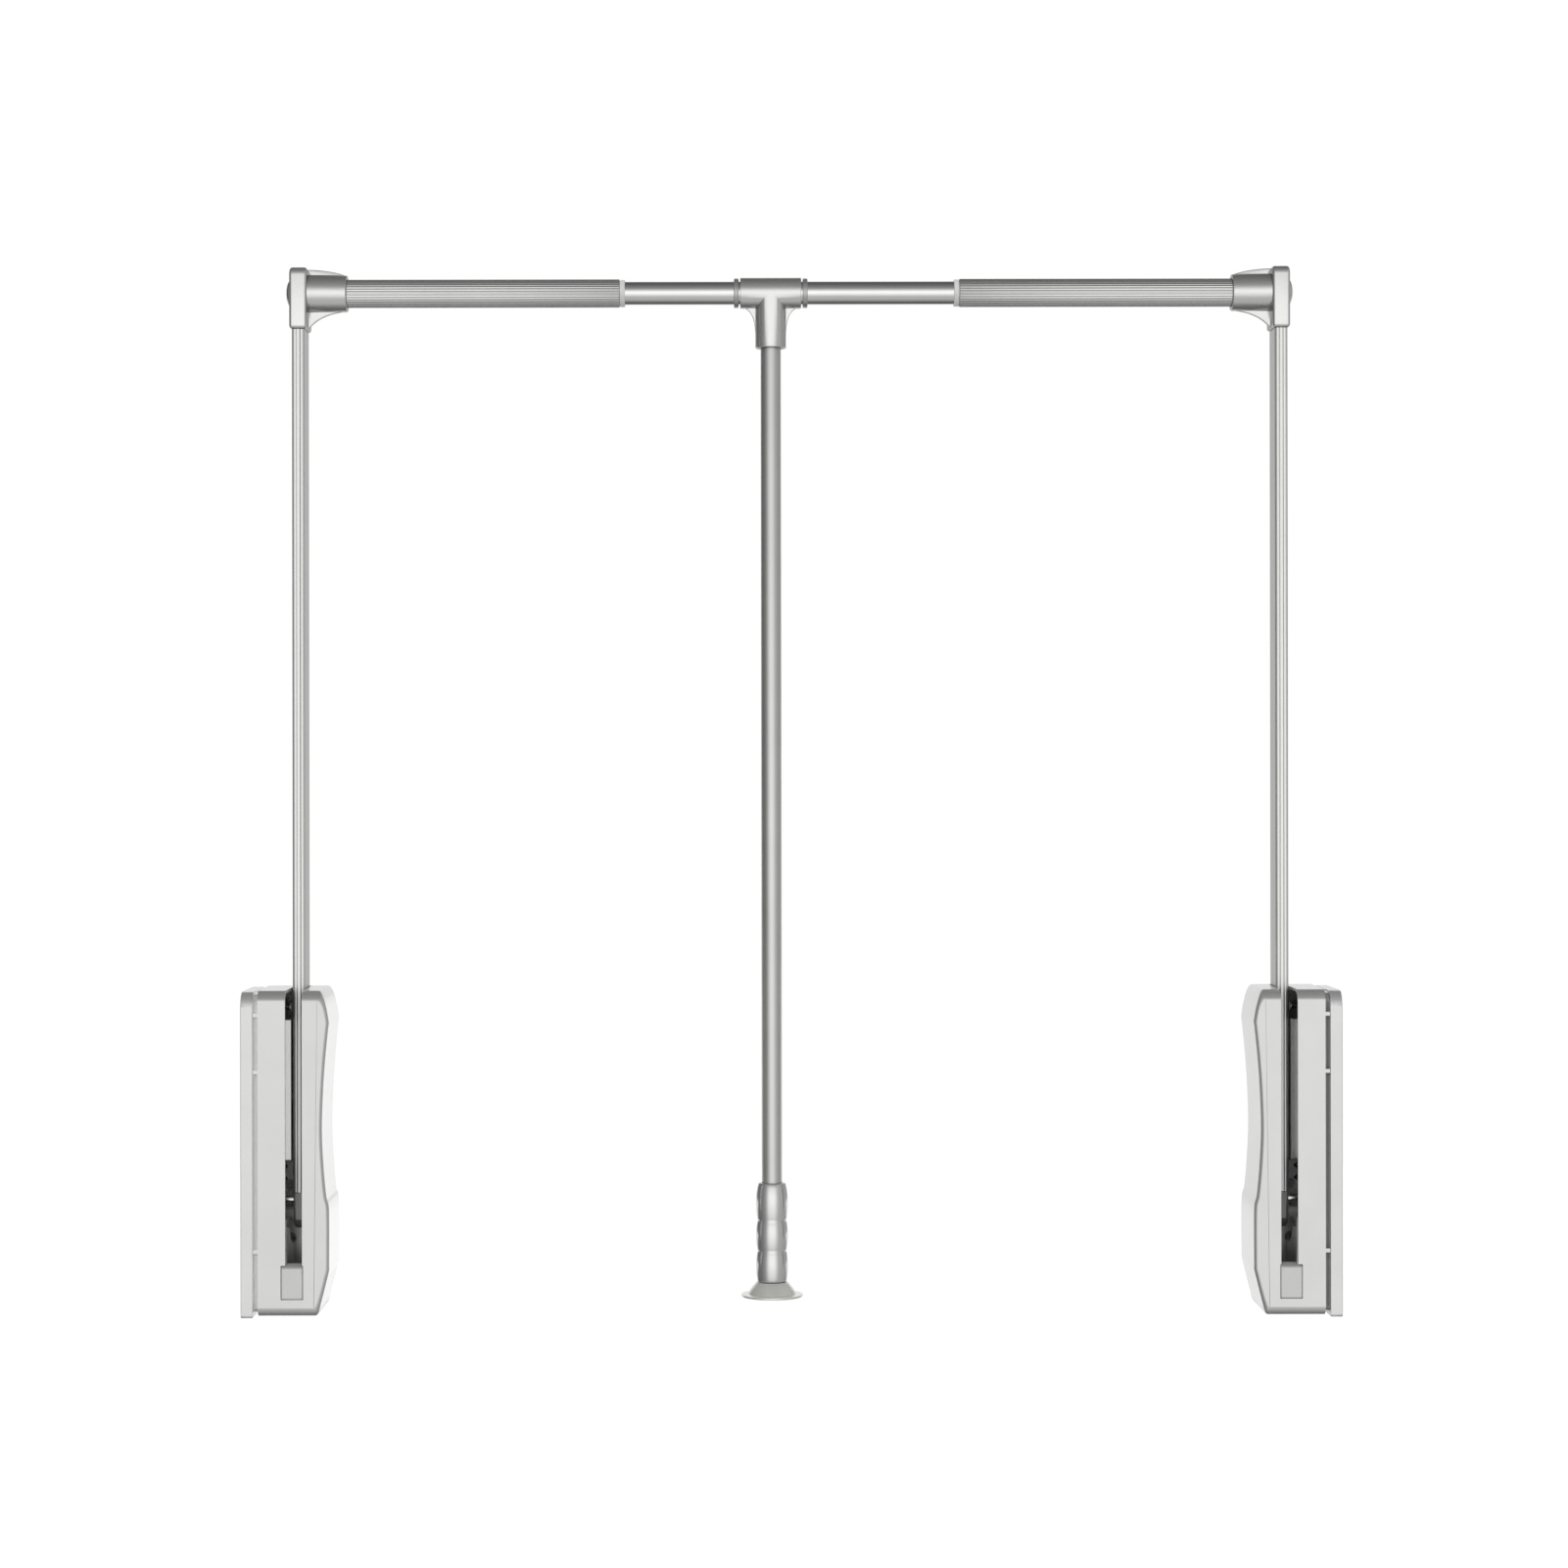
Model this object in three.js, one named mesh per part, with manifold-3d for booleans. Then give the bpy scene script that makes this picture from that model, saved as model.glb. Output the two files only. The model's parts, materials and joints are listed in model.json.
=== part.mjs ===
// Pull down closet rod: a telescopic clothes rail on two sprung arms, with a pull rod at its middle.
// Millimetres, +Z up, +X to the right, the front towards -Y.
// The origin is on the left wall face, on the axis that both arms turn about.

import * as THREE from 'three';
import Module from 'manifold-3d';
import { mergeVertices } from 'three/addons/utils/BufferGeometryUtils.js';

const wasm = await Module();
wasm.setup();

// Driving dimensions
const overallSpan = 868;
const railHeight = 736.4;
const housingTop = 181;
const housingBottom = 76;
const armCentre = 42;
const downAngle = THREE.MathUtils.degToRad(112);
const seatGap = 0.3;
const cutOverrun = 2;
const weldDistance = 1e-4;

const plate = {
  thickness: 9.6, front: 49, back: 22, topStep: 1, bottomStep: 1, topCorner: 12, corner: 2,
  plinthHeight: 6.4, floor: 4, wall: 2.5, ribThickness: 1.6, ribHeight: 4,
  ribShares: [0.15, 0.38, 0.5, 0.7, 0.84], holeShares: [0.08, 0.58, 0.78],
  holeRadius: 2.6, sinkRadius: 5, bossRadius: 6,
};
const cover = {
  seam: 4, front: 50, wall: 2.4, edge: 3, topReach: 19, topCorner: 11,
  bulge: 28.2, waist: 22.4, bottomReach: 19.5, bottomCorner: 3, topRound: 10.5, bottomRound: 9,
  waveHeightShares: [0.9, 0.79, 0.68, 0.565, 0.46, 0.37, 0.32, 0.143],
  waveReachShares: [0.95, 0.46, 0.14, 0, 0.2, 0.56, 0.95, 0.95],
  clipShares: [0.925, 0.75, 0.2], clipWidth: 3,
};
const slot = {
  width: 13.2, back: 16.4, cheek: 2.2, cheekDepth: 9, cheekLift: 5, cheekDrop: 25, lowerCheekBack: 6,
};
const stop = {
  width: 17, shift: 1.4, proud: 0.8, depth: 7, lift: 14, pocketWall: 2, sweepRadius: 24, corner: 0.8,
};
const chassis = {
  sheet: 2, top: 40, bottom: 45, webBack: 18.8, noseRadius: 12, screwHeightShares: [0.68, -0.72],
  screwBack: 11, screwRadius: 2.1, screwHead: 4, screwHeadHeight: 2,
  lighteningRadius: 5, lighteningShare: 0.5,
};
const axle = {
  radius: 4, head: 6.5, headHeight: 2.5, grooveDepth: 0.8, tail: 1, clipThickness: 0.9, clipRing: 2.4,
};
const spacerWall = 1.2;
const bush = { wall: 1.2, flange: 8, flangeThickness: 1.2 };
const arm = { width: 10.3, depth: 30, wall: 1.5, bottom: 18, ridge: 2.5, groove: 0.6 };
const foot = { hub: 12, plugLength: 25, edge: 2, pinDepth: 6 };
const crank = { radius: 16, angle: THREE.MathUtils.degToRad(40), pin: 2.5, head: 3.7, headHeight: 1.4 };
const spring = {
  standOff: 10.55, coilRadius: 5, wire: 1, curls: 13, anchorDrop: 16, hookLead: 14,
  hookTip: THREE.MathUtils.degToRad(130), hookEnd: THREE.MathUtils.degToRad(410), stepsPerCurl: 8, sides: 5,
};
const anchor = { radius: 2.5, head: 3.8, headHeight: 1.4, boss: 5.5, bossHeight: 11 };
const buffer = { width: 8, height: 20, drop: 15, corner: 1 };
const elbow = {
  width: 14, depth: 34, top: 19.8, bottom: 29.6, corner: 5, edge: 1.4, bossLength: 38, bossRadius: 14.6,
  bossTaper: 0.7, web: 3.6, spigot: 28, socketDepth: 16, mouthEdge: 0.6,
};
const capScrew = { head: 11, headHeight: 4, shank: 4, length: 26, socket: 3, socketDepth: 2.4 };
const railTube = { radius: 11.25, wall: 0.9, lengthShare: 0.2692, flutes: 36, fluteDepth: 0.3 };
const guide = { length: 4, liner: 12, linerWall: 0.35, lip: 0.45 };
const innerTube = { radius: 9.45, wall: 1.2, lengthShare: 0.5876 };
const tee = {
  centreShare: 0.4827, sleeveRadius: 12.3, sleeveLength: 48.7, socketRadius: 12.3, socketDepth: 44.3,
  web: 3,
  webMargin: 1, webDepth: 34, edge: 1.2, rodSeat: 16,
};
const collar = { radius: 11.9, width: 3.9, groove: 1.2, edge: 0.6 };
const rod = { radius: 8.15, wall: 1.2, bottom: 53 };
const setScrew = { radius: 2.5, socket: 1.2, socketDepth: 1.5, drop: 32 };
const grip = {
  top: 23.8, bottom: 55.4, mouth: 9.8, shoulder: 10.7, shoulderHeight: 1, bulge: 12.2, waist: 11.1,
  jointShares: [0.38, 0.685],
};
const flare = {
  neck: 12.5, skirt: 17.9, skirtDrop: 9, skirtSwell: 1.2, disc: 24.8, discThickness: 1.9, discRise: 0.7,
  spigotLength: 26, hollow: 1, recess: 9,
};
const footScrew = { radius: 2.2, head: 4.2, headHeight: 2.2, length: 22 };

const ring = { fine: 24, medium: 16, small: 12 };

// Places that follow from the sizes
const coverStart = plate.thickness + cover.seam;
const plinthTop = plate.thickness + plate.plinthHeight;
const plateTop = housingTop - plate.topStep;
const plateBottom = housingBottom + plate.bottomStep;
const armOuterFace = armCentre - arm.width / 2;
const armInnerFace = armCentre + arm.width / 2;
const slotOuter = armCentre - slot.width / 2;
const slotInner = armCentre + slot.width / 2;
const bushStack = seatGap + bush.flangeThickness + seatGap;
const chassisInner = armInnerFace + bushStack;
const bossTop = plinthTop - cover.seam;
const chassisOuter = bossTop + seatGap;
const stopBottom = housingBottom - stop.lift;
const stopBack = cover.front - stop.depth;
const springReach = armOuterFace - spring.standOff;
const anchorHeight = housingTop - spring.anchorDrop;
const crankPin = {
  y: -crank.radius * Math.sin(crank.angle),
  z: crank.radius * Math.cos(crank.angle),
};
const boreRadius = axle.radius + seatGap;
const bushRadius = boreRadius + bush.wall;
const plugInset = arm.wall + seatGap;
const elbowBottom = railHeight - elbow.bottom;
const bossEnd = armCentre + elbow.bossLength;
const tubeStop = bossEnd - elbow.socketDepth;
const tubeStart = tubeStop + seatGap;
const tubeEnd = tubeStart + overallSpan * railTube.lengthShare;
const teeCentre = overallSpan * tee.centreShare;
const guideBore = innerTube.radius + seatGap;

// Finishes read from the photograph
const finishes = {
  shell: { color: 0xcdcfd2, roughness: 0.42, metalness: 0.55 },
  plate: { color: 0xd2d4d6, roughness: 0.45, metalness: 0.45 },
  steel: { color: 0x9a9da1, roughness: 0.35, metalness: 0.95 },
  bright: { color: 0xc6c8cb, roughness: 0.25, metalness: 0.95 },
  aluminium: { color: 0xc2c4c7, roughness: 0.32, metalness: 0.9 },
  casting: { color: 0xcccdd0, roughness: 0.38, metalness: 0.7 },
  nylon: { color: 0x8d8f92, roughness: 0.6, metalness: 0 },
  rubber: { color: 0xa9abae, roughness: 0.7, metalness: 0.1 },
  spring: { color: 0x85888c, roughness: 0.35, metalness: 0.95 },
  flare: { color: 0xb4b0a2, roughness: 0.4, metalness: 0.6 },
};

// Geometry helpers

function closed(source) {
  const bare = new THREE.BufferGeometry();
  bare.setAttribute('position', source.getAttribute('position').clone());
  if (source.index) bare.setIndex(source.index.clone());
  const merged = mergeVertices(bare, weldDistance);
  const kept = [];
  for (let i = 0; i < merged.index.count; i += 3) {
    const corners = [merged.index.getX(i), merged.index.getX(i + 1), merged.index.getX(i + 2)];
    if (new Set(corners).size === 3) kept.push(...corners);
  }
  merged.setIndex(kept);
  return signedVolume(merged) < 0 ? flipped(merged) : merged;
}

function signedVolume(geometry) {
  const place = geometry.getAttribute('position');
  const [a, b, c] = [new THREE.Vector3(), new THREE.Vector3(), new THREE.Vector3()];
  let volume = 0;
  for (let i = 0; i < geometry.index.count; i += 3) {
    a.fromBufferAttribute(place, geometry.index.getX(i));
    b.fromBufferAttribute(place, geometry.index.getX(i + 1));
    c.fromBufferAttribute(place, geometry.index.getX(i + 2));
    volume += a.dot(b.cross(c)) / 6;
  }
  return volume;
}

function flipped(geometry) {
  const turned = [];
  for (let i = 0; i < geometry.index.count; i += 3) {
    turned.push(geometry.index.getX(i), geometry.index.getX(i + 2), geometry.index.getX(i + 1));
  }
  geometry.setIndex(turned);
  return geometry;
}

function solid(geometry) {
  const tidy = closed(geometry);
  return new wasm.Manifold(new wasm.Mesh({
    numProp: 3,
    vertProperties: new Float32Array(tidy.getAttribute('position').array),
    triVerts: new Uint32Array(tidy.index.array),
  }));
}

function geometryOf(body) {
  const mesh = body.getMesh();
  const geometry = new THREE.BufferGeometry();
  geometry.setAttribute('position', new THREE.BufferAttribute(new Float32Array(mesh.vertProperties), 3));
  geometry.setIndex(new THREE.BufferAttribute(new Uint32Array(mesh.triVerts), 1));
  return geometry;
}

function joined(...parts) {
  return parts.map(solid).reduce((sum, part) => sum.add(part));
}

function carved(body, ...tools) {
  return tools.map(solid).reduce((rest, tool) => rest.subtract(tool), body);
}

// A flat outline becomes a prism: one of (y, z) runs along X, one of (x, z) along Y, one of (x, y) along Z
function prismX(outline, from, to, bevel = 0, steps = 2, curve = 3) {
  const turn = new THREE.Matrix4().set(0, 0, 1, from, 1, 0, 0, 0, 0, 1, 0, 0, 0, 0, 0, 1);
  return extruded(outline, to - from, bevel, steps, curve).applyMatrix4(turn);
}

function prismY(outline, from, to, bevel = 0, steps = 2, curve = 3) {
  const turn = new THREE.Matrix4().set(1, 0, 0, 0, 0, 0, -1, to, 0, 1, 0, 0, 0, 0, 0, 1);
  return extruded(outline, to - from, bevel, steps, curve).applyMatrix4(turn);
}

function prismZ(outline, from, to) {
  return extruded(outline, to - from, 0, 1, 4).translate(0, 0, from);
}

function extruded(outline, length, bevel, steps, curve) {
  const options = { depth: length, bevelEnabled: false, curveSegments: curve };
  if (bevel > 0) {
    options.depth = length - 2 * bevel;
    options.bevelEnabled = true;
    options.bevelThickness = bevel;
    options.bevelSize = bevel;
    options.bevelOffset = -bevel;
    options.bevelSegments = steps;
  }
  return new THREE.ExtrudeGeometry(outline, options).translate(0, 0, bevel);
}

// A profile of [radius, place] pairs turned about Z or X
function turnedZ(profile, segments) {
  const points = profile.map(([radius, place]) => new THREE.Vector2(radius, place));
  return new THREE.LatheGeometry(points, segments).rotateX(Math.PI / 2);
}

function turnedX(profile, segments) {
  const points = profile.map(([radius, place]) => new THREE.Vector2(radius, place));
  return new THREE.LatheGeometry(points, segments).rotateZ(-Math.PI / 2);
}

function pinProfile(radius, from, to) {
  return [[0, from], [radius, from], [radius, to], [0, to]];
}

function tubeProfile(outer, inner, from, to) {
  return [[inner, from], [outer, from], [outer, to], [inner, to], [inner, from]];
}

function rodX(radius, from, to, y, z, segments = ring.medium) {
  return turnedX(pinProfile(radius, from, to), segments).translate(0, y, z);
}

function block(x0, x1, y0, y1, z0, z1) {
  const box = new THREE.BoxGeometry(x1 - x0, y1 - y0, z1 - z0);
  return box.translate((x0 + x1) / 2, (y0 + y1) / 2, (z0 + z1) / 2);
}

function circleOutline(radius, u, v, segments = ring.small) {
  const shape = new THREE.Shape();
  for (let i = 0; i < segments; i += 1) {
    const angle = (2 * Math.PI * i) / segments;
    const [x, y] = [u + radius * Math.cos(angle), v + radius * Math.sin(angle)];
    if (i === 0) shape.moveTo(x, y);
    else shape.lineTo(x, y);
  }
  return shape;
}

function roundedOutline(u0, u1, v0, v1, radii) {
  const [lowerLeft, lowerRight, upperRight, upperLeft] = radii;
  const shape = new THREE.Shape();
  shape.moveTo(u0 + lowerLeft, v0);
  shape.lineTo(u1 - lowerRight, v0);
  shape.absarc(u1 - lowerRight, v0 + lowerRight, lowerRight, -Math.PI / 2, 0);
  shape.lineTo(u1, v1 - upperRight);
  shape.absarc(u1 - upperRight, v1 - upperRight, upperRight, 0, Math.PI / 2);
  shape.lineTo(u0 + upperLeft, v1);
  shape.absarc(u0 + upperLeft, v1 - upperLeft, upperLeft, Math.PI / 2, Math.PI);
  shape.lineTo(u0, v0 + lowerLeft);
  shape.absarc(u0 + lowerLeft, v0 + lowerLeft, lowerLeft, Math.PI, 1.5 * Math.PI);
  return shape;
}

// The arms' section: two round ridges with a shallow groove between them, at the front and at the back
function groovedOutline() {
  const side = arm.width / 2 - arm.ridge;
  const middle = arm.depth / 2 - arm.ridge;
  const dip = Math.acos(1 - arm.groove / arm.ridge);
  const shape = new THREE.Shape();
  shape.absarc(armCentre + side, middle, arm.ridge, 0, Math.PI / 2 + dip);
  shape.absarc(armCentre - side, middle, arm.ridge, Math.PI / 2 - dip, Math.PI);
  shape.absarc(armCentre - side, -middle, arm.ridge, Math.PI, 1.5 * Math.PI + dip);
  shape.absarc(armCentre + side, -middle, arm.ridge, 1.5 * Math.PI - dip, 2 * Math.PI);
  return shape;
}

// The flat oval inside the arms: full round noses at the front and the back, drawn in by an inset
function ovalOutline(inset, centre) {
  const radius = arm.width / 2 - inset;
  const middle = arm.depth / 2 - inset - radius;
  const shape = new THREE.Shape();
  shape.absarc(centre, middle, radius, 0, Math.PI);
  shape.absarc(centre, -middle, radius, Math.PI, 2 * Math.PI);
  return shape;
}

// Offsets a closed outline inwards; its points run anticlockwise
function drawnIn(points, distance) {
  return points.map((point, i) => {
    const before = points[(i + points.length - 1) % points.length];
    const after = points[(i + 1) % points.length];
    const first = point.clone().sub(before).normalize();
    const second = after.clone().sub(point).normalize();
    const normal = new THREE.Vector2(-first.y - second.y, first.x + second.x).normalize();
    const mitre = distance / normal.dot(new THREE.Vector2(-first.y, first.x));
    return point.clone().addScaledVector(normal, mitre);
  });
}

// A round wire along a list of points, closed at both ends
function wireAlong(points, radius, sides) {
  const positions = [];
  const faces = [];
  let normal = new THREE.Vector3(1, 0, 0);
  points.forEach((point, i) => {
    const before = points[Math.max(i - 1, 0)];
    const after = points[Math.min(i + 1, points.length - 1)];
    const tangent = after.clone().sub(before).normalize();
    normal = normal.clone().addScaledVector(tangent, -normal.dot(tangent)).normalize();
    const side = new THREE.Vector3().crossVectors(tangent, normal);
    for (let k = 0; k < sides; k += 1) {
      const angle = (2 * Math.PI * k) / sides;
      const corner = point.clone().addScaledVector(normal, radius * Math.cos(angle));
      corner.addScaledVector(side, radius * Math.sin(angle));
      positions.push(corner.x, corner.y, corner.z);
    }
  });
  const row = (i, k) => i * sides + (k % sides);
  for (let i = 0; i + 1 < points.length; i += 1) {
    for (let k = 0; k < sides; k += 1) {
      faces.push(row(i, k), row(i, k + 1), row(i + 1, k + 1));
      faces.push(row(i, k), row(i + 1, k + 1), row(i + 1, k));
    }
  }
  for (let k = 1; k + 1 < sides; k += 1) {
    faces.push(row(0, 0), row(0, k + 1), row(0, k));
    faces.push(row(points.length - 1, 0), row(points.length - 1, k), row(points.length - 1, k + 1));
  }
  const geometry = new THREE.BufferGeometry();
  geometry.setAttribute('position', new THREE.Float32BufferAttribute(positions, 3));
  geometry.setIndex(faces);
  return geometry;
}

// Housing pieces, drawn for the left side with X as the reach from the wall

function plateOutline() {
  const radii = [plate.corner, plate.corner, plate.corner, plate.topCorner];
  return roundedOutline(-plate.front, plate.back, -plateBottom, plateTop, radii);
}

// The raised plinth fills the mouth of the cover with a gap all round, drawn in further for its own pocket
function plinthOutline(inset) {
  const margin = cover.wall + seatGap + inset;
  const radii = [cover.bottomRound, plate.corner, plate.corner, plate.topCorner].map((radius) => (
    Math.max(radius - inset, plate.corner / 2)
  ));
  const [front, back] = [margin - cover.front, plate.back - margin];
  return roundedOutline(front, back, margin - housingBottom, housingTop - margin, radii);
}

const plateHeightAt = (share) => (plateTop + plateBottom) * share - plateBottom;

function wallPlate() {
  const shell = joined(
    prismX(plateOutline(), 0, plate.thickness),
    prismX(plinthOutline(0), plate.thickness / 2, plinthTop),
  );
  const tray = carved(shell, prismX(plinthOutline(plate.wall), plate.floor, plinthTop + cutOverrun));
  const ribEnd = plate.floor + plate.ribHeight;
  const ribMargin = cover.wall + seatGap + plate.wall / 2;
  const extras = plate.ribShares.map((share) => block(
    plate.floor / 2, ribEnd, ribMargin - cover.front, plate.back - ribMargin,
    plateHeightAt(share), plateHeightAt(share) + plate.ribThickness,
  ));
  for (const height of chassisScrewHeights()) {
    extras.push(rodX(plate.bossRadius, plate.floor / 2, bossTop, chassis.screwBack, height, ring.small));
  }
  const anchorBoss = plate.floor + anchor.bossHeight;
  extras.push(rodX(anchor.boss, plate.floor / 2, anchorBoss, 0, anchorHeight, ring.small));
  const filled = extras.map(solid).reduce((sum, part) => sum.add(part), tray);
  const cuts = plate.holeShares.map((share) => turnedX([
    [0, -cutOverrun], [plate.holeRadius, -cutOverrun], [plate.holeRadius, plate.floor / 2],
    [plate.sinkRadius, plate.floor + cutOverrun / 2], [plate.sinkRadius, plinthTop], [0, plinthTop],
  ], ring.small).translate(0, -plate.front / 2, plateHeightAt(share)));
  for (const height of chassisScrewHeights()) {
    const bore = chassis.screwRadius + seatGap;
    cuts.push(rodX(bore, plate.floor, bossTop + cutOverrun, chassis.screwBack, height, ring.small));
  }
  const anchorBore = anchor.radius + seatGap;
  cuts.push(rodX(anchorBore, plate.floor, plinthTop + cutOverrun, 0, anchorHeight, ring.small));
  cuts.push(block(bossTop, plinthTop + cutOverrun, chassis.webBack - chassis.sheet - seatGap, plate.back,
    -chassis.bottom - seatGap, chassis.top + seatGap));
  return carved(filled, ...cuts);
}

function chassisScrewHeights() {
  const [upper, lower] = chassis.screwHeightShares;
  return [upper * chassis.top, lower * chassis.bottom];
}

// The moulded cover: its inner side swells at the top and the bottom and narrows between them
function coverOutline() {
  const height = housingTop + housingBottom;
  const swell = cover.bulge - cover.waist;
  const wave = cover.waveHeightShares.map((share, i) => new THREE.Vector2(
    armCentre + cover.waist + swell * cover.waveReachShares[i], housingTop - height * (1 - share),
  ));
  const topStart = new THREE.Vector2(armCentre + cover.topReach, housingTop);
  const bottomEnd = new THREE.Vector2(armCentre + cover.bottomReach, cover.bottomCorner - housingBottom);
  const corner = new THREE.QuadraticBezierCurve(
    topStart, new THREE.Vector2(topStart.x + cover.topCorner / 2, housingTop), wave[0],
  ).getPoints(5);
  const side = new THREE.SplineCurve(wave).getPoints(20);
  const openEdge = coverStart - cover.edge - cutOverrun;
  const points = [
    new THREE.Vector2(openEdge, housingTop), ...corner, ...side.slice(1), bottomEnd,
    new THREE.Vector2(bottomEnd.x - cover.bottomCorner, -housingBottom),
    new THREE.Vector2(openEdge, -housingBottom),
  ];
  return points.reverse();
}

function stopSection() {
  const rise = (y) => (-(arm.depth / 2 + seatGap) - y * Math.cos(downAngle)) / Math.sin(downAngle);
  const face = cover.front + stop.proud;
  return { face, frontTop: rise(-face), wallTop: rise(cover.wall - cover.front), backTop: rise(-stopBack) };
}

const stopLeft = armCentre - stop.width / 2 - stop.shift;
const stopRight = armCentre + stop.width / 2 - stop.shift;

// What a large round takes off a long front edge of the cover, outside or inside its wall
function frontRound(radius, inset, upward) {
  const turn = upward ? 1 : -1;
  const face = inset - cover.front;
  const edge = turn * ((upward ? housingTop : housingBottom) - inset);
  const reach = radius - inset;
  const heart = edge - turn * reach;
  const shape = new THREE.Shape();
  shape.moveTo(face - cutOverrun, edge + turn * cutOverrun);
  shape.lineTo(face - cutOverrun, heart);
  shape.lineTo(face, heart);
  shape.absarc(face + reach, heart, reach, Math.PI, Math.PI - turn * (Math.PI / 2), upward);
  shape.lineTo(face + reach, edge + turn * cutOverrun);
  return prismX(shape, -cutOverrun, armCentre + cover.bulge + cutOverrun, 0, 2, 6);
}

function roundedFront(body, inset) {
  return carved(
    solid(body),
    frontRound(cover.topRound, inset, true),
    frontRound(cover.bottomRound, inset, false),
  );
}

function housingCover() {
  const outline = coverOutline();
  const outer = prismY(new THREE.Shape(outline), -cover.front, plate.back, cover.edge, 3);
  const pocket = prismY(new THREE.Shape(drawnIn(outline, cover.wall)), cover.wall - cover.front,
    plate.back - cover.wall);
  const hollow = geometryOf(roundedFront(pocket, cover.wall));
  const wallSide = block(-cutOverrun, coverStart, -cover.front - cutOverrun, plate.back + cutOverrun,
    -housingBottom - cutOverrun, housingTop + cutOverrun);
  const inside = hollow.clone().translate(-cover.edge, 0, 0);
  const shell = carved(roundedFront(outer, 0), hollow, inside, wallSide);
  const innerFront = cover.wall / 2 - cover.front;
  const cheekEnds = [chassis.top + slot.cheekLift, housingTop - slot.cheekDrop];
  const stopSurround = seatGap + stop.pocketWall;
  const stopOuterBack = stop.pocketWall + seatGap - stopBack;
  const slotFoot = stopSection().frontTop;
  const walls = [
    block(slotOuter - slot.cheek, slotOuter, innerFront, -slot.cheekDepth, ...cheekEnds),
    block(slotInner, slotInner + slot.cheek, innerFront, -slot.cheekDepth, ...cheekEnds),
    block(stopLeft - stopSurround, stopRight + stopSurround, innerFront, stopOuterBack,
      -stopBottom - stopSurround, slotFoot),
    block(slotOuter - slot.cheek, slotOuter, stopOuterBack - stop.pocketWall, slot.lowerCheekBack,
      -stopBottom - seatGap, 0),
  ];
  for (const share of cover.clipShares) {
    const middle = (housingTop + housingBottom) * share - housingBottom;
    walls.push(block(plate.thickness + seatGap, coverStart + cover.wall, -plate.front,
      cover.wall - cover.front, middle - cover.clipWidth / 2, middle + cover.clipWidth / 2));
  }
  const full = walls.map(solid).reduce((sum, part) => sum.add(part), shell);
  return carved(
    full,
    block(slotOuter, slotInner, -cover.front - cutOverrun, cover.wall - cover.front + cutOverrun,
      slotFoot - cutOverrun, housingTop + cutOverrun),
    block(slotOuter, slotInner, -cover.front - cutOverrun, slot.back, housingTop - cover.topRound,
      housingTop + cutOverrun),
    block(stopLeft - seatGap, stopRight + seatGap, -cover.front - cutOverrun, seatGap - stopBack,
      -stopBottom - seatGap, stopSection().wallTop + seatGap),
    rodX(stop.sweepRadius, slotOuter - slot.cheek - cutOverrun, slotOuter + cutOverrun, 0, 0, ring.fine),
  );
}

function stopBlock() {
  const { face, frontTop, backTop } = stopSection();
  const shape = new THREE.Shape();
  shape.moveTo(-face, -stopBottom);
  shape.lineTo(-stopBack, -stopBottom);
  shape.lineTo(-stopBack, backTop);
  shape.lineTo(stop.corner - face, frontTop + (backTop - frontTop) * (stop.corner / (face - stopBack)));
  shape.lineTo(-face, frontTop - stop.corner);
  return solid(prismX(shape, stopLeft, stopRight));
}

function restBuffer() {
  const top = housingTop - buffer.drop;
  const half = buffer.width / 2;
  const radii = [buffer.corner, buffer.corner, buffer.corner, buffer.corner];
  const outline = roundedOutline(armCentre - half, armCentre + half, top - buffer.height, top, radii);
  return solid(prismY(outline, arm.depth / 2 + seatGap, plate.back - cover.wall - seatGap));
}

// The folded steel channel that carries the axle between two ears
function chassisOutline() {
  const shape = new THREE.Shape();
  const back = chassis.webBack;
  shape.moveTo(back, -chassis.bottom);
  shape.lineTo(back, chassis.top);
  shape.lineTo(back - chassis.noseRadius, chassis.top);
  shape.absarc(0, 0, chassis.noseRadius, Math.PI / 2 + Math.PI / 8, 1.5 * Math.PI - Math.PI / 8);
  shape.lineTo(back - chassis.noseRadius, -chassis.bottom);
  return shape;
}

function pivotBracket() {
  const ends = chassisInner + chassis.sheet;
  const body = solid(prismX(chassisOutline(), chassisOuter, ends));
  const cuts = [
    block(chassisOuter + chassis.sheet, chassisInner, -chassis.noseRadius - cutOverrun,
      chassis.webBack - chassis.sheet, -chassis.bottom - cutOverrun, chassis.top + cutOverrun),
    rodX(boreRadius, chassisOuter - cutOverrun, ends + cutOverrun, 0, 0),
  ];
  for (const height of chassisScrewHeights()) {
    cuts.push(rodX(chassis.screwRadius + seatGap, chassisOuter - cutOverrun,
      chassisOuter + chassis.sheet + cutOverrun, chassis.screwBack, height, ring.small));
  }
  for (const reach of [chassis.top, -chassis.bottom]) {
    const middle = (chassisOuter + chassisInner) / 2;
    const hole = circleOutline(chassis.lighteningRadius, middle, reach * chassis.lighteningShare);
    cuts.push(prismY(hole, chassis.webBack - chassis.sheet - cutOverrun, chassis.webBack + cutOverrun));
  }
  return carved(body, ...cuts);
}

function bracketScrew(height) {
  const seat = chassisOuter + chassis.sheet + seatGap;
  return solid(turnedX([
    [0, plate.floor + cutOverrun], [chassis.screwRadius, plate.floor + cutOverrun],
    [chassis.screwRadius, seat], [chassis.screwHead, seat],
    [chassis.screwHead, seat + chassis.screwHeadHeight / 2],
    [chassis.screwHead / 2, seat + chassis.screwHeadHeight], [0, seat + chassis.screwHeadHeight],
  ], ring.small).translate(0, chassis.screwBack, height));
}

function clipPlace() {
  const from = chassisOuter - seatGap - axle.clipThickness;
  return { from, to: chassisOuter - seatGap };
}

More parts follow.
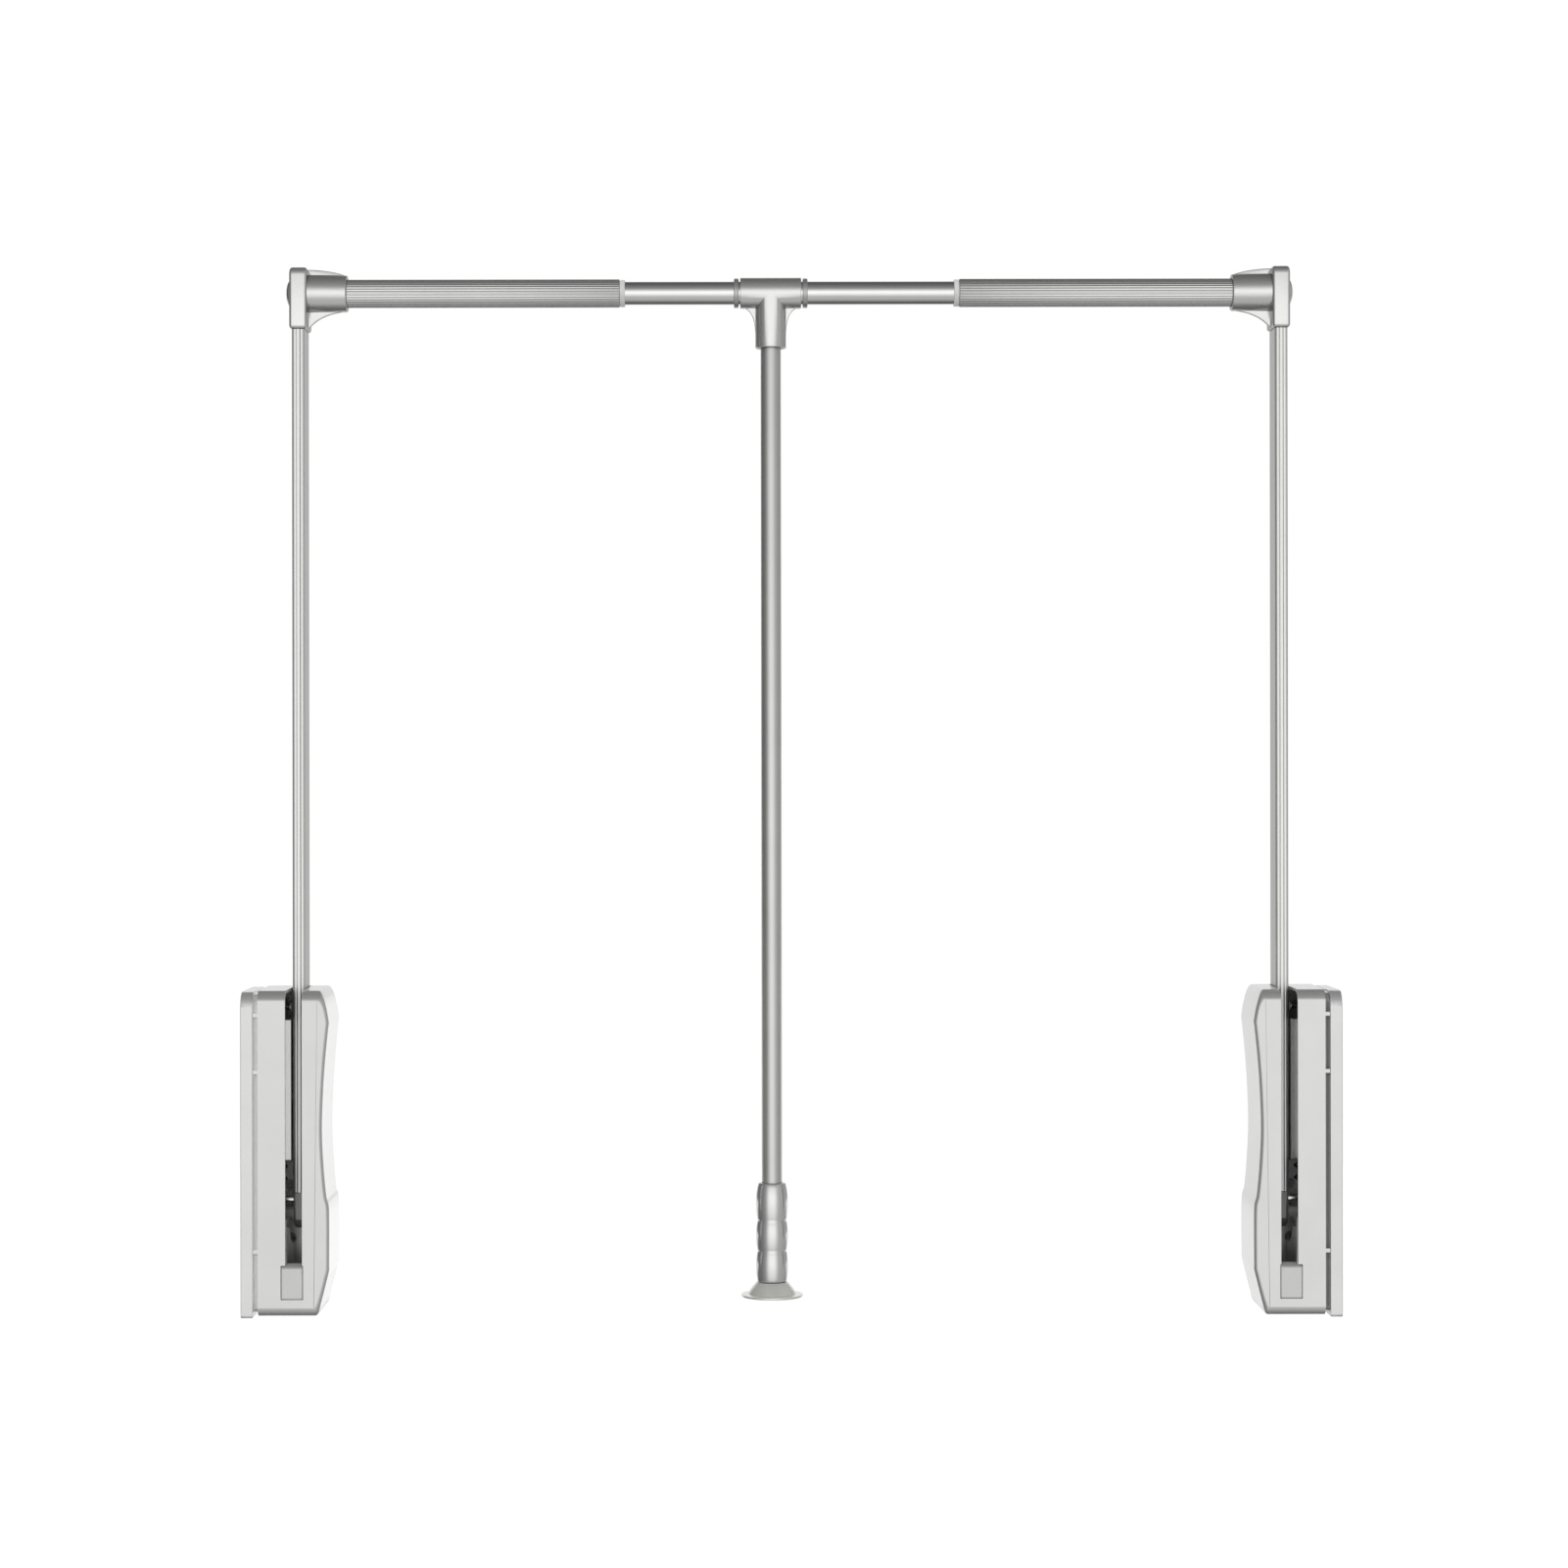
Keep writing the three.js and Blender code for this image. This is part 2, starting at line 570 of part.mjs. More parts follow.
function pivotAxle() {
  const { from, to } = clipPlace();
  const groove = axle.radius - axle.grooveDepth;
  const start = from - seatGap - axle.tail;
  const head = chassisInner + chassis.sheet + seatGap;
  return solid(turnedX([
    [0, start], [axle.radius, start], [axle.radius, from - seatGap / 2], [groove, from - seatGap / 2],
    [groove, to + seatGap / 2], [axle.radius, to + seatGap / 2], [axle.radius, head], [axle.head, head],
    [axle.head, head + axle.headHeight / 2], [axle.head - axle.headHeight / 2, head + axle.headHeight],
    [0, head + axle.headHeight],
  ], ring.medium));
}

function axleClip() {
  const { from, to } = clipPlace();
  const inner = axle.radius - axle.grooveDepth + seatGap;
  const outer = inner + axle.clipRing;
  const open = Math.PI / 5;
  const shape = new THREE.Shape();
  shape.absarc(0, 0, outer, -Math.PI / 2 + open, 1.5 * Math.PI - open);
  shape.absarc(0, 0, inner, 1.5 * Math.PI - open, -Math.PI / 2 + open, true);
  return solid(prismX(shape, from, to, 0, 1, 6));
}

function axleSpacer() {
  const from = chassisOuter + chassis.sheet + seatGap;
  const to = armOuterFace - bushStack;
  return solid(turnedX(tubeProfile(boreRadius + spacerWall, boreRadius, from, to), ring.medium));
}

// A flanged bush; inward is 1 for the one that goes in from the wall side and -1 for the other
function pivotBush(inward) {
  const face = armCentre - inward * (arm.width / 2 + seatGap);
  const flangeEnd = face - inward * bush.flangeThickness;
  const inner = armCentre - inward * seatGap / 2;
  return solid(turnedX([
    [boreRadius, flangeEnd], [bush.flange, flangeEnd], [bush.flange, face], [bushRadius, face],
    [bushRadius, inner], [boreRadius, inner], [boreRadius, flangeEnd],
  ], ring.medium));
}

function springAnchor() {
  const end = springReach + spring.coilRadius + spring.wire;
  return solid(turnedX([
    [0, plate.floor + seatGap], [anchor.radius, plate.floor + seatGap], [anchor.radius, end],
    [anchor.head, end], [anchor.head, end + anchor.headHeight], [0, end + anchor.headHeight],
  ], ring.small).translate(0, 0, anchorHeight));
}

// The extension spring between the crank pin and the anchor, with a hook round each
function springPoints(length) {
  const hookRadius = crank.pin + seatGap + spring.wire;
  const point = (x, y, z) => new THREE.Vector3(x, y, z);
  const hook = [];
  const hookSteps = 9;
  for (let i = 0; i <= hookSteps; i += 1) {
    const angle = THREE.MathUtils.lerp(spring.hookTip, spring.hookEnd, i / hookSteps);
    hook.push(point(0, hookRadius * Math.cos(angle), hookRadius * Math.sin(angle)));
  }
  const steps = spring.curls * spring.stepsPerCurl;
  const coil = [];
  for (let i = 0; i <= steps; i += 1) {
    const angle = (2 * Math.PI * i) / spring.stepsPerCurl;
    const height = THREE.MathUtils.lerp(spring.hookLead, length - spring.hookLead, i / steps);
    coil.push(point(spring.coilRadius * Math.sin(angle), spring.coilRadius * Math.cos(angle), height));
  }
  const first = hook[hook.length - 1];
  const lead = [point(0, first.y / 2, (first.z + spring.hookLead) / 2)];
  lead.push(point(-spring.coilRadius / 2, spring.coilRadius / 2, spring.hookLead - spring.wire * 2));
  const turned = (place) => point(-place.x, place.y, length - place.z);
  const end = [...hook, ...lead].map(turned).reverse();
  return [...hook, ...lead, ...coil, ...end];
}

function leastGap(points, wire) {
  const away = 5;
  let least = Infinity;
  for (let i = 0; i < points.length; i += 1) {
    for (let k = i + away; k < points.length; k += 1) {
      least = Math.min(least, points[i].distanceTo(points[k]) - 2 * wire);
    }
  }
  return least;
}

function returnSpring(side) {
  const across = -crankPin.y;
  const up = anchorHeight - crankPin.z;
  const points = springPoints(Math.hypot(across, up));
  const gap = leastGap(points, spring.wire).toFixed(2);
  if (side === 'left') console.log(`return spring: least gap to itself ${gap} mm`);
  const geometry = wireAlong(points, spring.wire, spring.sides).rotateX(-Math.atan2(across, up));
  return solid(geometry.translate(springReach, crankPin.y, crankPin.z));
}

// Arm pieces

function armTube() {
  const shape = groovedOutline();
  shape.holes.push(new THREE.Path(ovalOutline(arm.wall, armCentre).getPoints(4).reverse()));
  return solid(prismZ(shape, arm.bottom, elbowBottom - seatGap));
}

function armFoot() {
  const top = arm.bottom - seatGap;
  const half = arm.depth / 2;
  const lean = Math.atan2(top, half) - Math.asin(foot.hub / Math.hypot(top, half));
  const shape = new THREE.Shape();
  shape.moveTo(half, top);
  shape.lineTo(-half, top);
  shape.absarc(0, 0, foot.hub, 1.5 * Math.PI - (Math.PI / 2 - lean), 1.5 * Math.PI + (Math.PI / 2 - lean));
  const body = joined(
    prismX(shape, armOuterFace, armInnerFace, foot.edge, 2),
    prismZ(ovalOutline(plugInset, armCentre), foot.hub / 2, arm.bottom + foot.plugLength),
  );
  return carved(
    body,
    rodX(bushRadius + seatGap, armOuterFace - cutOverrun, armInnerFace + cutOverrun, 0, 0),
    rodX(crank.pin + seatGap, armOuterFace - cutOverrun, armOuterFace + foot.pinDepth,
      crankPin.y, crankPin.z, ring.small),
  );
}

function crankPinSolid() {
  const end = springReach - spring.wire - seatGap;
  const profile = [
    [0, end - crank.headHeight], [crank.head, end - crank.headHeight], [crank.head, end], [crank.pin, end],
    [crank.pin, armOuterFace + foot.pinDepth - seatGap], [0, armOuterFace + foot.pinDepth - seatGap],
  ];
  return solid(turnedX(profile, ring.small).translate(0, crankPin.y, crankPin.z));
}

// The cast elbow: a block over the arm, a boss round the rail, and a web above and below the boss
function cornerBracket() {
  const top = railHeight + elbow.top;
  const half = elbow.depth / 2;
  const outline = roundedOutline(-half, half, elbowBottom, top,
    [elbow.edge, elbow.edge, elbow.corner, elbow.corner].map((radius) => radius + elbow.edge));
  const face = armCentre + elbow.width / 2;
  const web = new THREE.Shape();
  web.moveTo(armCentre, top);
  web.lineTo(face, top - elbow.edge);
  web.quadraticCurveTo(tubeStop, top - elbow.edge, bossEnd, railHeight + elbow.bossRadius);
  web.lineTo(bossEnd, railHeight - elbow.bossRadius);
  web.quadraticCurveTo(tubeStop, railHeight - elbow.bossRadius - elbow.edge, face,
    elbowBottom + elbow.corner);
  web.lineTo(armCentre, elbowBottom + elbow.corner);
  const body = joined(
    prismX(outline, armCentre - elbow.width / 2, face, elbow.edge, 1),
    turnedX([[0, armCentre], [elbow.bossRadius + elbow.bossTaper, armCentre],
      [elbow.bossRadius, bossEnd - elbow.mouthEdge], [elbow.bossRadius - elbow.mouthEdge, bossEnd],
      [0, bossEnd]], ring.fine).translate(0, 0, railHeight),
    prismY(web, -elbow.web / 2, elbow.web / 2),
    prismZ(ovalOutline(plugInset, armCentre), elbowBottom - elbow.spigot, elbowBottom + elbow.corner),
  );
  return carved(
    body,
    rodX(railTube.radius + seatGap, tubeStop, bossEnd + cutOverrun, 0, railHeight, ring.fine),
    rodX(capScrew.shank + seatGap, armCentre - elbow.width, tubeStop + cutOverrun, 0, railHeight,
      ring.small),
  );
}

function capScrewSolid() {
  const seat = armCentre - elbow.width / 2 - seatGap;
  const crown = seat - capScrew.headHeight;
  const steps = 4;
  const dome = [];
  for (let i = 0; i <= steps; i += 1) {
    const angle = (Math.PI / 2) * (i / steps);
    dome.push([capScrew.head * Math.sin(angle), seat - capScrew.headHeight * Math.cos(angle)]);
  }
  const body = solid(turnedX([
    ...dome, [capScrew.shank, seat], [capScrew.shank, seat + capScrew.length], [0, seat + capScrew.length],
  ], ring.medium).translate(0, 0, railHeight));
  const socketFloor = crown + capScrew.socketDepth;
  return carved(body, rodX(capScrew.socket, crown - cutOverrun, socketFloor, 0, railHeight, 6));
}

// The outer rail tube has fine flutes all along it
function railTubeSolid() {
  const shape = new THREE.Shape();
  const count = railTube.flutes * 2;
  for (let i = 0; i < count; i += 1) {
    const angle = (2 * Math.PI * i) / count;
    const radius = railTube.radius - (i % 2) * railTube.fluteDepth;
    const [y, z] = [radius * Math.cos(angle), radius * Math.sin(angle)];
    if (i === 0) shape.moveTo(y, z);
    else shape.lineTo(y, z);
  }
  const bore = railTube.radius - railTube.fluteDepth - railTube.wall;
  const body = solid(prismX(shape, tubeStart, tubeEnd).translate(0, 0, railHeight));
  const hollow = rodX(bore, tubeStop - cutOverrun, tubeEnd + cutOverrun, 0, railHeight, ring.fine);
  return carved(body, hollow);
}

function telescopeBush() {
  const outer = railTube.radius - guide.lip;
  const liner = railTube.radius - railTube.fluteDepth - railTube.wall - seatGap;
  const face = tubeEnd + seatGap;
  const from = tubeEnd - guide.liner;
  const inner = Math.max(liner - guide.linerWall, innerTube.radius + seatGap / 2);
  return solid(turnedX([
    [inner, from], [liner, from], [liner, face], [outer, face], [outer, face + guide.length - guide.lip],
    [outer - guide.lip, face + guide.length], [inner, face + guide.length], [inner, from],
  ], ring.fine).translate(0, 0, railHeight));
}

// Middle pieces, drawn about the rail axis with X measured from the middle of the tee

function innerTubeSolid() {
  const half = overallSpan * innerTube.lengthShare / 2;
  const bore = innerTube.radius - innerTube.wall;
  return solid(turnedX(tubeProfile(innerTube.radius, bore, -half, half), ring.fine));
}

function collarSolid(side) {
  const near = side * (tee.sleeveLength / 2 + collar.groove);
  const far = near + side * collar.width;
  const slope = side * collar.edge;
  return solid(turnedX([
    [guideBore, near], [collar.radius - collar.edge, near], [collar.radius, near + slope],
    [collar.radius, far - slope], [collar.radius - collar.edge, far], [guideBore, far], [guideBore, near],
  ], ring.fine));
}

function teePiece() {
  const half = tee.sleeveLength / 2;
  const reach = half - tee.webMargin;
  const web = new THREE.Shape();
  web.moveTo(-reach, -tee.sleeveRadius / 2);
  web.lineTo(-reach, -tee.sleeveRadius + tee.edge);
  web.quadraticCurveTo(-tee.socketRadius, -tee.sleeveRadius - tee.edge, -tee.socketRadius, -tee.webDepth);
  web.lineTo(tee.socketRadius, -tee.webDepth);
  web.quadraticCurveTo(tee.socketRadius, -tee.sleeveRadius - tee.edge, reach, -tee.sleeveRadius + tee.edge);
  web.lineTo(reach, -tee.sleeveRadius / 2);
  const body = joined(
    turnedX([[0, -half], [tee.sleeveRadius - tee.edge / 2, -half], [tee.sleeveRadius, tee.edge - half],
      [tee.sleeveRadius, half - tee.edge], [tee.sleeveRadius - tee.edge / 2, half], [0, half]], ring.fine),
    turnedZ([[0, -tee.socketDepth], [tee.socketRadius - tee.edge, -tee.socketDepth],
      [tee.socketRadius, tee.edge - tee.socketDepth], [tee.socketRadius, -seatGap],
      [0, -seatGap]], ring.fine),
    prismY(web, -tee.web / 2, tee.web / 2),
  );
  const screwHole = circleOutline(setScrew.radius + seatGap, 0, -setScrew.drop);
  return carved(
    body,
    rodX(guideBore, -half - cutOverrun, half + cutOverrun, 0, 0, ring.fine),
    turnedZ(pinProfile(rod.radius + seatGap, -tee.socketDepth - cutOverrun, -innerTube.radius), ring.fine),
    prismY(screwHole, rod.radius, tee.socketRadius + cutOverrun),
  );
}

function rodSetScrew() {
  const shape = circleOutline(setScrew.radius, 0, -setScrew.drop);
  const hex = circleOutline(setScrew.socket, 0, -setScrew.drop, 6);
  return carved(
    solid(prismY(shape, rod.radius + seatGap, tee.socketRadius)),
    prismY(hex, tee.socketRadius - setScrew.socketDepth, tee.socketRadius + cutOverrun),
  );
}

const rodTop = -tee.rodSeat;
const downFromRail = (height) => height - railHeight;

function pullRod() {
  const profile = tubeProfile(rod.radius, rod.radius - rod.wall, downFromRail(-rod.bottom), rodTop);
  return solid(turnedZ(profile, ring.medium));
}

// Three barrel bulges between narrow waists
function gripSolid() {
  const steps = 6;
  const bore = rod.radius + seatGap;
  const joints = grip.jointShares.map((share) => THREE.MathUtils.lerp(grip.top, -grip.bottom, share));
  const places = [grip.top - grip.shoulderHeight, ...joints, -grip.bottom];
  const profile = [[bore, grip.top], [grip.mouth, grip.top]];
  for (let i = 0; i + 1 < places.length; i += 1) {
    for (let k = 0; k < steps; k += 1) {
      const share = k / steps;
      const low = i === 0 && 2 * k < steps ? grip.shoulder : grip.waist;
      const radius = THREE.MathUtils.lerp(low, grip.bulge, Math.sin(Math.PI * share));
      profile.push([radius, THREE.MathUtils.lerp(places[i], places[i + 1], share)]);
    }
  }
  profile.push([grip.waist, -grip.bottom], [bore, -grip.bottom], [bore, grip.top]);
  return solid(turnedZ(profile.map(([radius, height]) => [radius, downFromRail(height)]), ring.fine));
}

function gripFoot() {
  const top = -grip.bottom - seatGap;
  const skirtFoot = top - flare.skirtDrop;
  const discTop = skirtFoot - flare.discRise;
  const curve = new THREE.QuadraticBezierCurve(
    new THREE.Vector2(flare.neck, top),
    new THREE.Vector2((flare.neck + flare.skirt) / 2 + flare.skirtSwell, (top + skirtFoot) / 2),
    new THREE.Vector2(flare.skirt, skirtFoot),
  ).getPoints(5).map((point) => [point.x, point.y]);
  const spigot = rod.radius - rod.wall - seatGap;
  const profile = [
    [0, top + flare.spigotLength], [spigot, top + flare.spigotLength], [spigot, top],
    ...curve, [flare.disc, discTop], [flare.disc, discTop - flare.discThickness],
    [flare.skirt, discTop - flare.discThickness],
    [flare.recess, discTop - flare.discThickness + flare.hollow],
    [0, discTop - flare.discThickness + flare.hollow],
  ];
  const floor = discTop - flare.discThickness + flare.hollow;
  const headRoom = footScrew.head + seatGap;
  return carved(
    solid(turnedZ(profile.map(([radius, height]) => [radius, downFromRail(height)]), ring.fine)),
    turnedZ([
      [0, floor - cutOverrun], [headRoom, floor - cutOverrun],
      [headRoom, floor + footScrew.headHeight + seatGap],
      [footScrew.radius + seatGap, floor + footScrew.headHeight + seatGap],
      [footScrew.radius + seatGap, floor + footScrew.length + seatGap],
      [0, floor + footScrew.length + seatGap],
    ].map(([r, h]) => [r, downFromRail(h)]), ring.small),
  );
}

function footScrewSolid() {
  const top = -grip.bottom - seatGap;
  const floor = top - flare.skirtDrop - flare.discRise - flare.discThickness + flare.hollow;
  return solid(turnedZ([
    [0, floor], [footScrew.head, floor], [footScrew.head, floor + footScrew.headHeight],
    [footScrew.radius, floor + footScrew.headHeight], [footScrew.radius, floor + footScrew.length],
    [0, floor + footScrew.length],
  ].map(([radius, height]) => [radius, downFromRail(height)]), ring.small));
}

// Scene graph

const part = new THREE.Group();

function place(group, name, body, finish) {
  const mesh = new THREE.Mesh(geometryOf(body), new THREE.MeshStandardMaterial(finishes[finish]));
  mesh.name = name;
  group.add(mesh);
  return mesh;
}

// The right side is the left one seen in a mirror
function handed(group) {
  group.traverse((item) => {
    if (!item.isMesh) return;
    item.geometry.scale(-1, 1, 1);
    flipped(item.geometry);
  });
  group.position.x = overallSpan;
  return group;
}

function housing(side) {
  const group = new THREE.Group();
  const [upper, lower] = chassisScrewHeights();
  place(group, `${side}_wall_plate`, wallPlate(), 'plate');
  place(group, `${side}_housing_cover`, housingCover(), 'shell');
  place(group, `${side}_pivot_bracket`, pivotBracket(), 'steel');
  place(group, `${side}_bracket_screw_upper`, bracketScrew(upper), 'steel');
  place(group, `${side}_bracket_screw_lower`, bracketScrew(lower), 'steel');
  place(group, `${side}_pivot_axle`, pivotAxle(), 'bright');
  place(group, `${side}_axle_clip`, axleClip(), 'steel');
  place(group, `${side}_axle_spacer`, axleSpacer(), 'nylon');
  place(group, `${side}_spring_anchor`, springAnchor(), 'bright');
  place(group, `${side}_return_spring`, returnSpring(side), 'spring');
  place(group, `${side}_rest_buffer`, restBuffer(), 'rubber');
  place(group, `${side}_stop_block`, stopBlock(), 'rubber');
  return group;
}

function swingArm(side) {
  const group = new THREE.Group();
  place(group, `${side}_arm_tube`, armTube(), 'aluminium');
  place(group, `${side}_arm_foot`, armFoot(), 'casting');
  place(group, `${side}_pivot_bush_outer`, pivotBush(1), 'nylon');
  place(group, `${side}_pivot_bush_inner`, pivotBush(-1), 'nylon');
  place(group, `${side}_crank_pin`, crankPinSolid(), 'bright');
  place(group, `${side}_corner_bracket`, cornerBracket(), 'casting');
  place(group, `${side}_cap_screw`, capScrewSolid(), 'bright');
  place(group, `${side}_rail_tube`, railTubeSolid(), 'aluminium');
  place(group, `${side}_telescope_bush`, telescopeBush(), 'nylon');
  return group;
}

function middle() {
  const group = new THREE.Group();
  place(group, 'inner_tube', innerTubeSolid(), 'bright');
  place(group, 'left_collar', collarSolid(-1), 'casting');
  place(group, 'right_collar', collarSolid(1), 'casting');
  group.position.set(teeCentre, 0, railHeight);
  return group;
}

function pullHandle() {
  const group = new THREE.Group();
  place(group, 'tee_piece', teePiece(), 'casting');
  place(group, 'rod_set_screw', rodSetScrew(), 'steel');
  place(group, 'pull_rod', pullRod(), 'bright');
  place(group, 'grip', gripSolid(), 'casting');
  place(group, 'grip_foot', gripFoot(), 'flare');
  place(group, 'foot_screw', footScrewSolid(), 'steel');
  group.position.set(teeCentre, 0, railHeight);
  return group;
}

part.add(housing('left'), swingArm('left'), middle(), pullHandle());
part.add(handed(swingArm('right')), handed(housing('right')));

export default part;
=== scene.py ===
import json
import math
from contextlib import contextmanager

import bmesh
import bpy
from mathutils import Matrix, Vector

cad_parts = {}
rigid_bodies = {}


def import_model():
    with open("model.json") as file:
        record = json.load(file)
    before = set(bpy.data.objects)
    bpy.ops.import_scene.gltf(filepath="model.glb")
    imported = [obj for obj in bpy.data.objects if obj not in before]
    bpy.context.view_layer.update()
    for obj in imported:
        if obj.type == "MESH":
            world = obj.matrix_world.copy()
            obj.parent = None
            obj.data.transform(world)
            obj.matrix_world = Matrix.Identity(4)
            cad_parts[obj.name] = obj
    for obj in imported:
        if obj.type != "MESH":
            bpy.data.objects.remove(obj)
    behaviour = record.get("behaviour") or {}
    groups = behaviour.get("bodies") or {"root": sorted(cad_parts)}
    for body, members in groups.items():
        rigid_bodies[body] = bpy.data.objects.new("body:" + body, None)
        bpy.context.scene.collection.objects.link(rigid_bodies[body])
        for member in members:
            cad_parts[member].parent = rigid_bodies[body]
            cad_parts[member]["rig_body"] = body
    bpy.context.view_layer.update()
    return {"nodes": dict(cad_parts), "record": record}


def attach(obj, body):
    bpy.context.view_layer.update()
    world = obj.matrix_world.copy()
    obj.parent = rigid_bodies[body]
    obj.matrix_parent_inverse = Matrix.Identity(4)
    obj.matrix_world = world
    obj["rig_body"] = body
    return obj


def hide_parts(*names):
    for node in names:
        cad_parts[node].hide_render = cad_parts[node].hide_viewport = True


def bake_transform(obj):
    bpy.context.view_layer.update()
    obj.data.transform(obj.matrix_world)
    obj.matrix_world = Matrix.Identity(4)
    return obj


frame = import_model()

MM = 0.001
FULL_TURN = 2 * math.pi
QUARTER_TURN = math.pi / 2
OVER = 2.0
TINY = 1e-6

# Sizes that several pieces share, the same as in the solids
SPAN = 868.0
RAIL_HEIGHT = 736.4
ARM_CENTRE = 42.0
ARM_WIDTH = 10.3
ARM_DEPTH = 30.0
TEE_CENTRE = 419.0
GAP = 0.3
TOP = 181.0
BOTTOM = 76.0
FRONT = -50.0
BACK = 22.0
PLATE_FACE = 9.6
PLATE_FRONT = -49.0
COVER_START = 13.6
BLOCK_SIDES = (35.0, 49.0)
BLOCK_HEIGHTS = (706.8, 756.2)
BOSS_END = 80.0
RAIL_TUBE = (64.3, 298.0)
ROD_SEAT = 8.45
FINE = 96


# Mesh helpers

@contextmanager
def mesh_edit(mesh):
    work = bmesh.new()
    work.from_mesh(mesh)
    yield work
    work.to_mesh(mesh)
    work.free()


def linked(name, data):
    obj = bpy.data.objects.new(name, data)
    bpy.context.scene.collection.objects.link(obj)
    return obj


def new_object(name, vertices, faces):
    mesh = bpy.data.meshes.new(name)
    mesh.from_pydata([tuple(v) for v in vertices], [], faces)
    obj = linked(name, mesh)
    with mesh_edit(mesh) as work:
        bmesh.ops.remove_doubles(work, verts=work.verts, dist=1e-4)
        bmesh.ops.recalc_face_normals(work, faces=work.faces)
    return obj


def skinned(name, rings, capped=False, looped=False):
    """Joins rings of points with faces, and closes both ends or joins the last ring to the first."""
    count = len(rings[0])
    faces = []
    if capped:
        last = (len(rings) - 1) * count
        faces = [tuple(range(count)), tuple(last + k for k in reversed(range(count)))]
    for i in range(len(rings) if looped else len(rings) - 1):
        j = (i + 1) % len(rings)
        for k in range(count):
            n = (k + 1) % count
            faces.append((i * count + k, i * count + n, j * count + n, j * count + k))
    return new_object(name, [point for ring in rings for point in ring], faces)


def baked(obj):
    graph = bpy.context.evaluated_depsgraph_get()
    graph.update()
    mesh = bpy.data.meshes.new_from_object(obj.evaluated_get(graph))
    obj.modifiers.clear()
    obj.data = mesh
    return obj


def combined(obj, tools, operation):
    for tool in tools:
        step = obj.modifiers.new("step", "BOOLEAN")
        step.operation = operation
        step.solver = "EXACT"
        step.object = tool
        baked(obj)
        bpy.data.objects.remove(tool)
    return obj


def joined(obj, *tools):
    return combined(obj, tools, "UNION")


def carved(obj, *tools):
    return combined(obj, tools, "DIFFERENCE")


def softened(obj, width, angle):
    """Rounds every edge that is sharper than an angle."""
    step = obj.modifiers.new("soft edges", "BEVEL")
    step.width = width
    step.segments = 2
    step.limit_method = "ANGLE"
    step.angle_limit = math.radians(angle)
    step.use_clamp_overlap = False
    step.miter_outer = "MITER_ARC"
    return baked(obj)


def rimmed(obj, width, chosen):
    """Rounds only the edges whose two ends are both chosen."""
    mesh = obj.data
    weights = mesh.attributes.new("bevel_weight_edge", "FLOAT", "EDGE")
    for edge in mesh.edges:
        ends = [mesh.vertices[i].co for i in edge.vertices]
        weights.data[edge.index].value = 1.0 if all(chosen(end) for end in ends) else 0.0
    step = obj.modifiers.new("rim", "BEVEL")
    step.width = width
    step.segments = 2
    step.limit_method = "WEIGHT"
    return baked(obj)


def smoothed(obj, angle=32, flat=None):
    """Shades a piece smooth, apart from its sharp edges and the faces that are named flat."""
    with mesh_edit(obj.data) as work:
        for face in work.faces:
            face.smooth = not (flat and flat(face))
        for edge in work.edges:
            edge.smooth = len(edge.link_faces) == 2 and edge.calc_face_angle(0) < math.radians(angle)
    return obj


# Outlines and profiles

def bend(start, control, end, steps):
    """A quadratic curve between two points, drawn towards a third one."""
    result = []
    for k in range(steps + 1):
        t = k / steps
        spot = Vector(start) * (1 - t) ** 2 + Vector(control) * 2 * t * (1 - t) + Vector(end) * t * t
        result.append((spot.x, spot.y))
    return result


def eased(points, radius, steps=4, closed=False):
    """Rounds the corners of a flat outline or profile."""
    count = len(points)
    longest_share = 0.45
    result = []
    for i, point in enumerate(points):
        if not closed and i in (0, count - 1):
            result.append(tuple(point))
            continue
        here = Vector(point)
        to_last = Vector(points[i - 1]) - here
        to_next = Vector(points[(i + 1) % count]) - here
        reach = min(radius, to_last.length * longest_share, to_next.length * longest_share)
        result += bend(here + to_last.normalized() * reach, here, here + to_next.normalized() * reach, steps)
    return result


def inset(points, distance):
    """Draws a closed anticlockwise outline inwards."""
    count = len(points)
    sharpest = 0.3
    result = []
    for i in range(count):
        here = Vector(points[i])
        first = (here - Vector(points[i - 1])).normalized()
        second = (Vector(points[(i + 1) % count]) - here).normalized()
        normal = Vector((-first.y - second.y, first.x + second.x)).normalized()
        mitre = distance / max(normal.dot(Vector((-first.y, first.x))), sharpest)
        spot = here + normal * mitre
        result.append((spot.x, spot.y))
    return result


def rounded_box(u0, u1, v0, v1, radii, steps=6):
    """An anticlockwise outline, with a radius for each corner from the lower left to the upper left one."""
    centres = [(u0 + radii[0], v0 + radii[0]), (u1 - radii[1], v0 + radii[1]),
               (u1 - radii[2], v1 - radii[2]), (u0 + radii[3], v1 - radii[3])]
    points = []
    for i, (u, v) in enumerate(centres):
        for k in range(steps + 1):
            angle = math.pi + QUARTER_TURN * (i + k / steps)
            points.append((u + radii[i] * math.cos(angle), v + radii[i] * math.sin(angle)))
    return points


def spline(p0, p1, p2, p3, w):
    """A point between the second and the third of four points, at a share of the way."""
    v0, v1 = (p2 - p0) / 2, (p3 - p1) / 2
    return (2 * p1 - 2 * p2 + v0 + v1) * w ** 3 + (-3 * p1 + 3 * p2 - 2 * v0 - v1) * w ** 2 + v0 * w + p1


def neighbours(points, index):
    last = len(points) - 1
    return [Vector(points[min(max(index + k, 0), last)]) for k in (-1, 0, 1, 2)]


def curve_through(points, samples):
    """An even spline through points, the same as the one that shapes the solid cover."""
    last = len(points) - 1
    result = []
    for i in range(samples + 1):
        place = last * i / samples
        index = min(int(place), last - 1)
        spot = spline(*neighbours(points, index), place - index)
        result.append((spot.x, spot.y))
    return result


